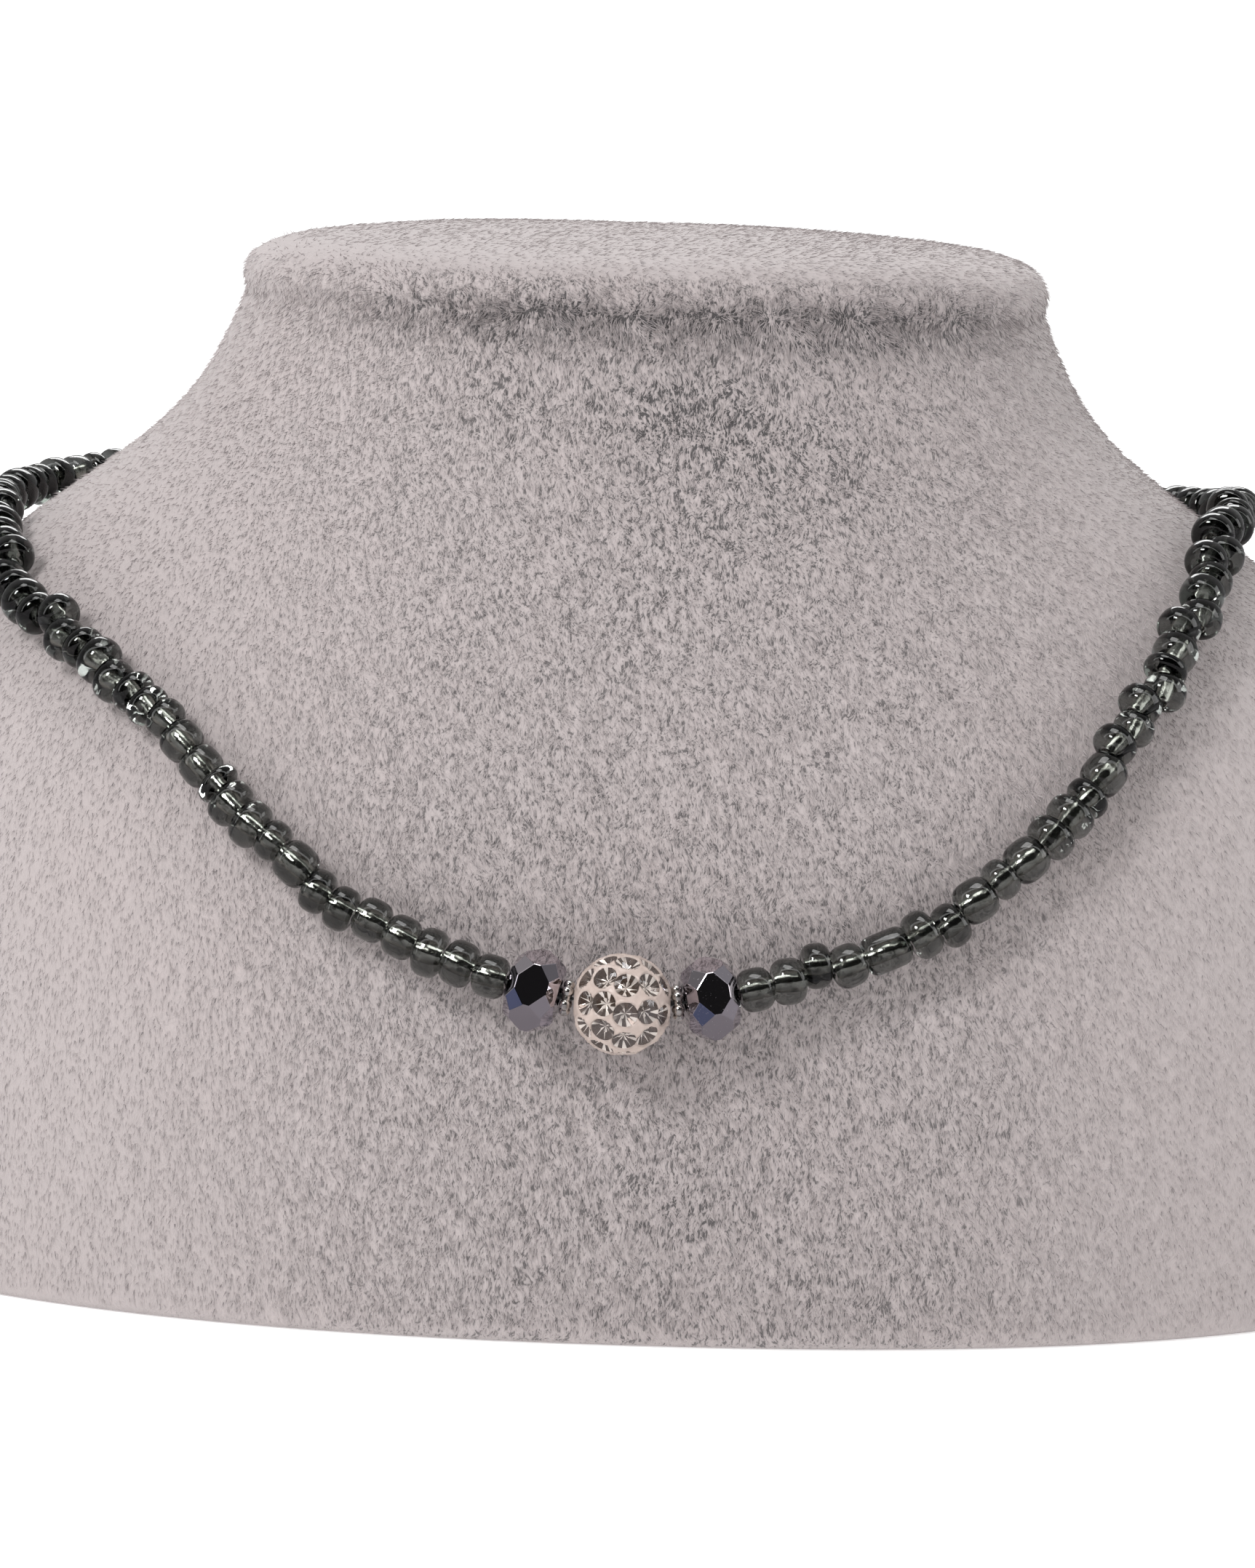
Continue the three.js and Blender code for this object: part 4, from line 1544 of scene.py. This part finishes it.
@dataclass(frozen=True)
class MetalFinish:
    """A polished or tarnished metal."""

    name: str
    bright: tuple[float, float, float]
    dull: tuple[float, float, float]
    roughness: float
    grain: float
    spread: float = 0.12

    def make(self) -> Material:
        """The metal, with tarnish in soft patches and a faint grain."""
        make = Recipe(self.name, Metallic=1.0)
        patch = make.noise(self.grain, 4)
        tarnish = ((patch - 0.42) * 4.0).clamped()
        make.set(Base_Color=make.mixed(tarnish, self.bright, self.dull))
        make.set(Roughness=self.roughness + tarnish * self.spread)
        make.bump(make.noise(self.grain * 3, 2), 0.01 * MM, 0.4)
        return make.material


@dataclass(frozen=True)
class StoneFoil:
    """The foil behind the stones, some facets painted bright and some nearly brown as painted reflections.
    """

    bright: tuple[float, float, float] = (1.0, 0.91, 0.84)
    brown: tuple[float, float, float] = (0.085, 0.058, 0.044)

    def make(self) -> Material:
        """The foil, each facet in its own tone of painted reflection, which also changes from stone to
        stone.
        """
        make = Recipe("stone_foil", Metallic=0.4, Roughness=0.15)
        stone = (make.noise(520, 0) - 0.5) * 1.2
        tone = ((make.attribute("tone") + stone - 0.5) * 3.6 + 0.42).clamped()
        make.set(Base_Color=make.mixed(tone, self.brown, self.bright))
        return make.material


@dataclass(frozen=True)
class FoilFinish:
    """The crinkled silver that lines the beads' holes."""

    bright: tuple[float, float, float] = (0.95, 0.93, 0.88)
    dull: tuple[float, float, float] = (0.22, 0.21, 0.19)

    def make(self) -> Material:
        """The silver, mottled, finely crinkled and darker where it has worn."""
        make = Recipe("silver_lining", Metallic=1.0)
        worn = ((make.noise(1700, 3) - 0.5) * 6.0).clamped()
        make.set(Base_Color=make.mixed(worn, self.bright, self.dull))
        make.set(Roughness=0.13 + worn * 0.12)
        make.bump(make.noise(2400, 4), 0.045 * MM, 0.6)
        return make.material


@dataclass(frozen=True)
class CrystalFinish:
    """Gunmetal mirror of the cut crystals."""

    bright: tuple[float, float, float] = (0.56, 0.51, 0.535)
    blue: tuple[float, float, float] = (0.13, 0.155, 0.28)

    def make(self) -> Material:
        """The mirror, with each facet a little bluer or greyer, a painted blue reflection on the facets
        that face down and to the left, and a fine speckle.
        """
        make = Recipe("gunmetal_crystal", Metallic=1.0)
        tone = make.attribute("tone")
        speck = ((make.noise(5200, 2) - 0.62) * 9.0).clamped()
        speck = speck * make.attribute("speckled")
        facet = make.mixed(tone, self.bright, self.blue)
        make.set(Base_Color=make.mixed(speck * 0.5, facet, (0.80, 0.78, 0.82)))
        make.set(Roughness=0.04 + speck * 0.5)
        return make.material


@dataclass(frozen=True)
class ClayFinish:
    """Pinkish white clay of the ball."""

    pale: tuple[float, float, float] = (0.48, 0.395, 0.357)
    warm: tuple[float, float, float] = (0.36, 0.285, 0.25)

    def make(self) -> Material:
        """The clay, satin, faintly mottled and pitted."""
        make = Recipe("pave_clay", Roughness=0.42, Coat_Weight=0.15, Coat_Roughness=0.25)
        patch = ((make.noise(700, 4) - 0.4) * 2.5).clamped()
        make.set(Base_Color=make.mixed(patch, self.pale, self.warm))
        make.bump(make.noise(2600, 3), 0.03 * MM, 0.5)
        return make.material


@dataclass(frozen=True)
class ThreadFinish:
    """Dark twisted thread."""

    dark: tuple[float, float, float] = (0.02, 0.02, 0.021)
    light: tuple[float, float, float] = (0.07, 0.07, 0.072)

    def make(self) -> Material:
        """The thread, with its fibres in two tones."""
        make = Recipe("dark_thread", Roughness=0.7, Sheen_Weight=0.3)
        make.set(Base_Color=make.mixed(make.noise(3000, 2), self.dark, self.light))
        return make.material


@dataclass(frozen=True)
class View:
    """The camera, at the photograph's place."""

    image: tuple[int, int] = (1725, 2156)
    ball_pixel: tuple[float, float] = (855.0, 1381.0)
    pixels_per_mm: float = 14.3
    distance: float = 600 * MM
    pitch: float = 9.0
    roll: float = 1.9
    sensor: float = 36.0

    def build(self, ball: Vector) -> Object:
        """Makes the camera.

        Args:
            ball: the ball's centre, which falls on its own pixel.

        Returns:
            The camera.
        """
        pitch, roll = math.radians(self.pitch), math.radians(self.roll)
        back = Vector((0, -math.cos(pitch), math.sin(pitch)))
        level = Vector((1, 0, 0))
        rise = back.cross(level)
        right = level * math.cos(roll) + rise * math.sin(roll)
        up = rise * math.cos(roll) - level * math.sin(roll)
        scale = self.pixels_per_mm / MM
        width, height = self.image
        place = ball + back * self.distance
        place -= right * ((self.ball_pixel[0] - width / 2) / scale)
        place += up * ((self.ball_pixel[1] - height / 2) / scale)
        data = bpy.data.cameras.new("camera")
        data.sensor_width = self.sensor
        data.lens = scale * self.distance * self.sensor / height
        data.clip_start, data.clip_end = 0.01, 50.0
        camera = linked("camera", data)
        camera.matrix_world = Matrix.Translation(place) @ Matrix((right, up, back)).transposed().to_4x4()
        bpy.context.scene.camera = camera
        return camera


@dataclass(frozen=True)
class Softbox:
    """One soft light."""

    name: str
    place: tuple[float, float, float]
    aim: tuple[float, float, float]
    size: tuple[float, float]
    power: float

    def build(self) -> Object:
        """Hangs the light, aimed at its point."""
        data = bpy.data.lights.new(self.name, "AREA")
        data.shape = "RECTANGLE"
        data.size, data.size_y = self.size
        data.energy = self.power
        light = linked(self.name, data)
        light.location = self.place
        light.rotation_mode = "QUATERNION"
        light.rotation_quaternion = (Vector(self.aim) - Vector(self.place)).to_track_quat("-Z", "Y")
        return light


@dataclass(frozen=True)
class Studio:
    """The pale floor, the soft lights and the surroundings."""

    ambient: float = 0.70
    mirrored: tuple[float, float] = (0.40, 0.015)
    arch: float = 2.4
    floor_size: float = 8.0

    def build(self) -> None:
        """Sets up everything round the object."""
        self._floor()
        self._surroundings()
        middle = (0.0, -0.03, 0.06)
        for light in (
            Softbox("key", (-0.55, -0.75, 0.78), middle, (0.30, 0.30), 8.2),
            Softbox("fill", (0.80, -0.02, 0.36), middle, (0.36, 0.44), 1.1),
            Softbox("top", (-0.05, -0.10, 1.00), middle, (0.50, 0.30), 2.2),
            Softbox("back", (0.0, 0.80, 0.60), middle, (0.60, 0.30), 3.0),
        ):
            light.build()
        settings = bpy.context.scene.view_settings
        settings.view_transform = "Standard"
        settings.look = "None"

    @staticmethod
    def _mirrored_share(make: Graph) -> Shade:
        """1 for what is seen in a gloss or through glass, 0 for the rest."""
        path = make.node("ShaderNodeLightPath")
        glossy = Shade(make, path.outputs["Is Glossy Ray"])
        return (glossy + Shade(make, path.outputs["Is Transmission Ray"])).clamped()

    def _floor(self) -> None:
        """Lays the plain pale floor, which stays dim in the mirrors."""
        half = self.floor_size / 2
        mesh = bpy.data.meshes.new("floor")
        corners = [(-half, -half, 0), (half, -half, 0), (half, half, 0), (-half, half, 0)]
        mesh.from_pydata(corners, [], [(0, 1, 2, 3)])
        make = Recipe("floor", Roughness=0.8, Specular_IOR_Level=0.0, Emission_Strength=0.5)
        dim = self._mirrored_share(make)
        make.set(Base_Color=make.mixed(dim, (0.9, 0.9, 0.9), (0.30, 0.29, 0.30)))
        make.set(Emission_Color=make.mixed(dim, (1.0, 1.0, 1.0), (0.0, 0.0, 0.0)))
        linked("floor", mesh, make.material)

    def _surroundings(self) -> None:
        """White to the eye and to soft light, dim but for one bright arch to what mirrors it."""
        world = bpy.data.worlds.new("studio")
        bpy.context.scene.world = world
        world.use_nodes = True
        make = Graph(world.node_tree)
        make.tree.nodes.clear()
        dim = self._mirrored_share(make)
        seen = make.out("ShaderNodeLightPath", output="Is Camera Ray")
        way = make.out("ShaderNodeTexCoord", output="Generated")
        settings, values = {"operation": "DOT_PRODUCT"}, {0: way, 1: (0.0, -0.98, 0.2)}
        ahead = make.out("ShaderNodeVectorMath", settings, values, "Value")
        front = ((ahead + 0.25) * 1.3).clamped()
        axes = make.node("ShaderNodeSeparateXYZ", {}, {0: way})
        off_arch = (Shade(make, axes.outputs["Y"]) + 0.27) * 10.0
        arch = (1.0 - off_arch * off_arch).clamped() * (Shade(make, axes.outputs["Z"]) * 8.0).clamped()
        mirrored = self.mirrored[0] + front * (self.mirrored[1] - self.mirrored[0]) + arch * self.arch
        strength = self.ambient + dim * (mirrored - self.ambient) + seen * (1.02 - self.ambient)
        sky = make.out("ShaderNodeBackground", {}, {"Color": (1.0, 1.0, 1.0, 1.0), "Strength": strength})
        make.node("ShaderNodeOutputWorld", {}, {"Surface": sky})


def build_form(form: NeckForm) -> None:
    """Builds and dresses the neck form.

    Args:
        form: the form.
    """
    finish = PlushFinish()
    backing = form.build_backing(finish.backing())
    Combing().write(backing.data, form.seam_height)
    pile = Pile()
    for row in PILE_TONES:
        declare(pile.build(backing, row, finish.pile(row["name"], row["tone"])), "plush")
    declare(backing, "plush", "neck_bust")


def build_necklace(form: NeckForm) -> Vector:
    """Builds and dresses the necklace.

    Args:
        form: the form that it lies on.

    Returns:
        The ball's centre.
    """
    ball, spacer, clasp = Ball(), Spacer(), Clasp()
    crystals = {side: Crystal(speckled=SPECKLED[side.value]) for side in Side}
    crystal = crystals[Side.LEFT]
    route = Route(form, ball.diameter, crystal.diameter, BEAD_SEAT)
    spacer_at = ball.flat_to_flat / 2 + STRUNG_GAP + spacer.thickness / 2
    crystal_at = spacer_at + spacer.thickness / 2 + STRUNG_GAP + crystal.thickness / 2
    string_from = crystal_at + crystal.thickness / 2 + END_GAP
    clasp_reach = clasp.length / 2 + END_GAP

    middle = route.at(0)
    declare(ball.build("pave_clay", middle, ClayFinish().make()), "pave_clay", "pave_ball")
    glass = GlassFinish()
    for piece in ball.build_stones(middle, glass.clear(), StoneFoil().make()):
        declare(piece, "pave_clay")

    silver = MetalFinish("antique_silver", (0.80, 0.78, 0.75), (0.30, 0.27, 0.25), 0.16, 1500).make()
    lining = FoilFinish().make()
    mirror = CrystalFinish().make()
    smoky = glass.smoky()
    for side in Side:
        way, name = side.way, side.value
        grains = spacer.build(f"grain_spacer_{name}", route.at(way * spacer_at), silver)
        declare(grains, "silver", f"spacer_{name}")
        cut = crystals[side].build(f"crystal_{name}", route.at(way * crystal_at), mirror)
        declare(cut, "dark_crystal", f"rondelle_{name}")
        side_length = route.front if side is Side.LEFT else route.length - route.front
        string = BeadString(side, route, string_from, side_length - clasp_reach)
        beads, linings = string.build(smoky, lining)
        declare(beads, "smoky_glass", f"bead_string_{name}")
        declare(linings, "silver")
    declare(Thread(route).build(ThreadFinish().make()), "thread", "centre_thread")
    nape = route.at(route.length - route.front)
    declare(clasp.build("screw_clasp", nape, silver), "silver", "barrel_clasp")
    return middle.point


def main() -> None:
    """Builds everything in order."""
    logging.basicConfig(level=logging.INFO, format="%(message)s")
    form = NeckForm()
    ball = build_necklace(form)
    build_form(form)
    View().build(ball)
    Studio().build()


if __name__ == "__main__":
    main()
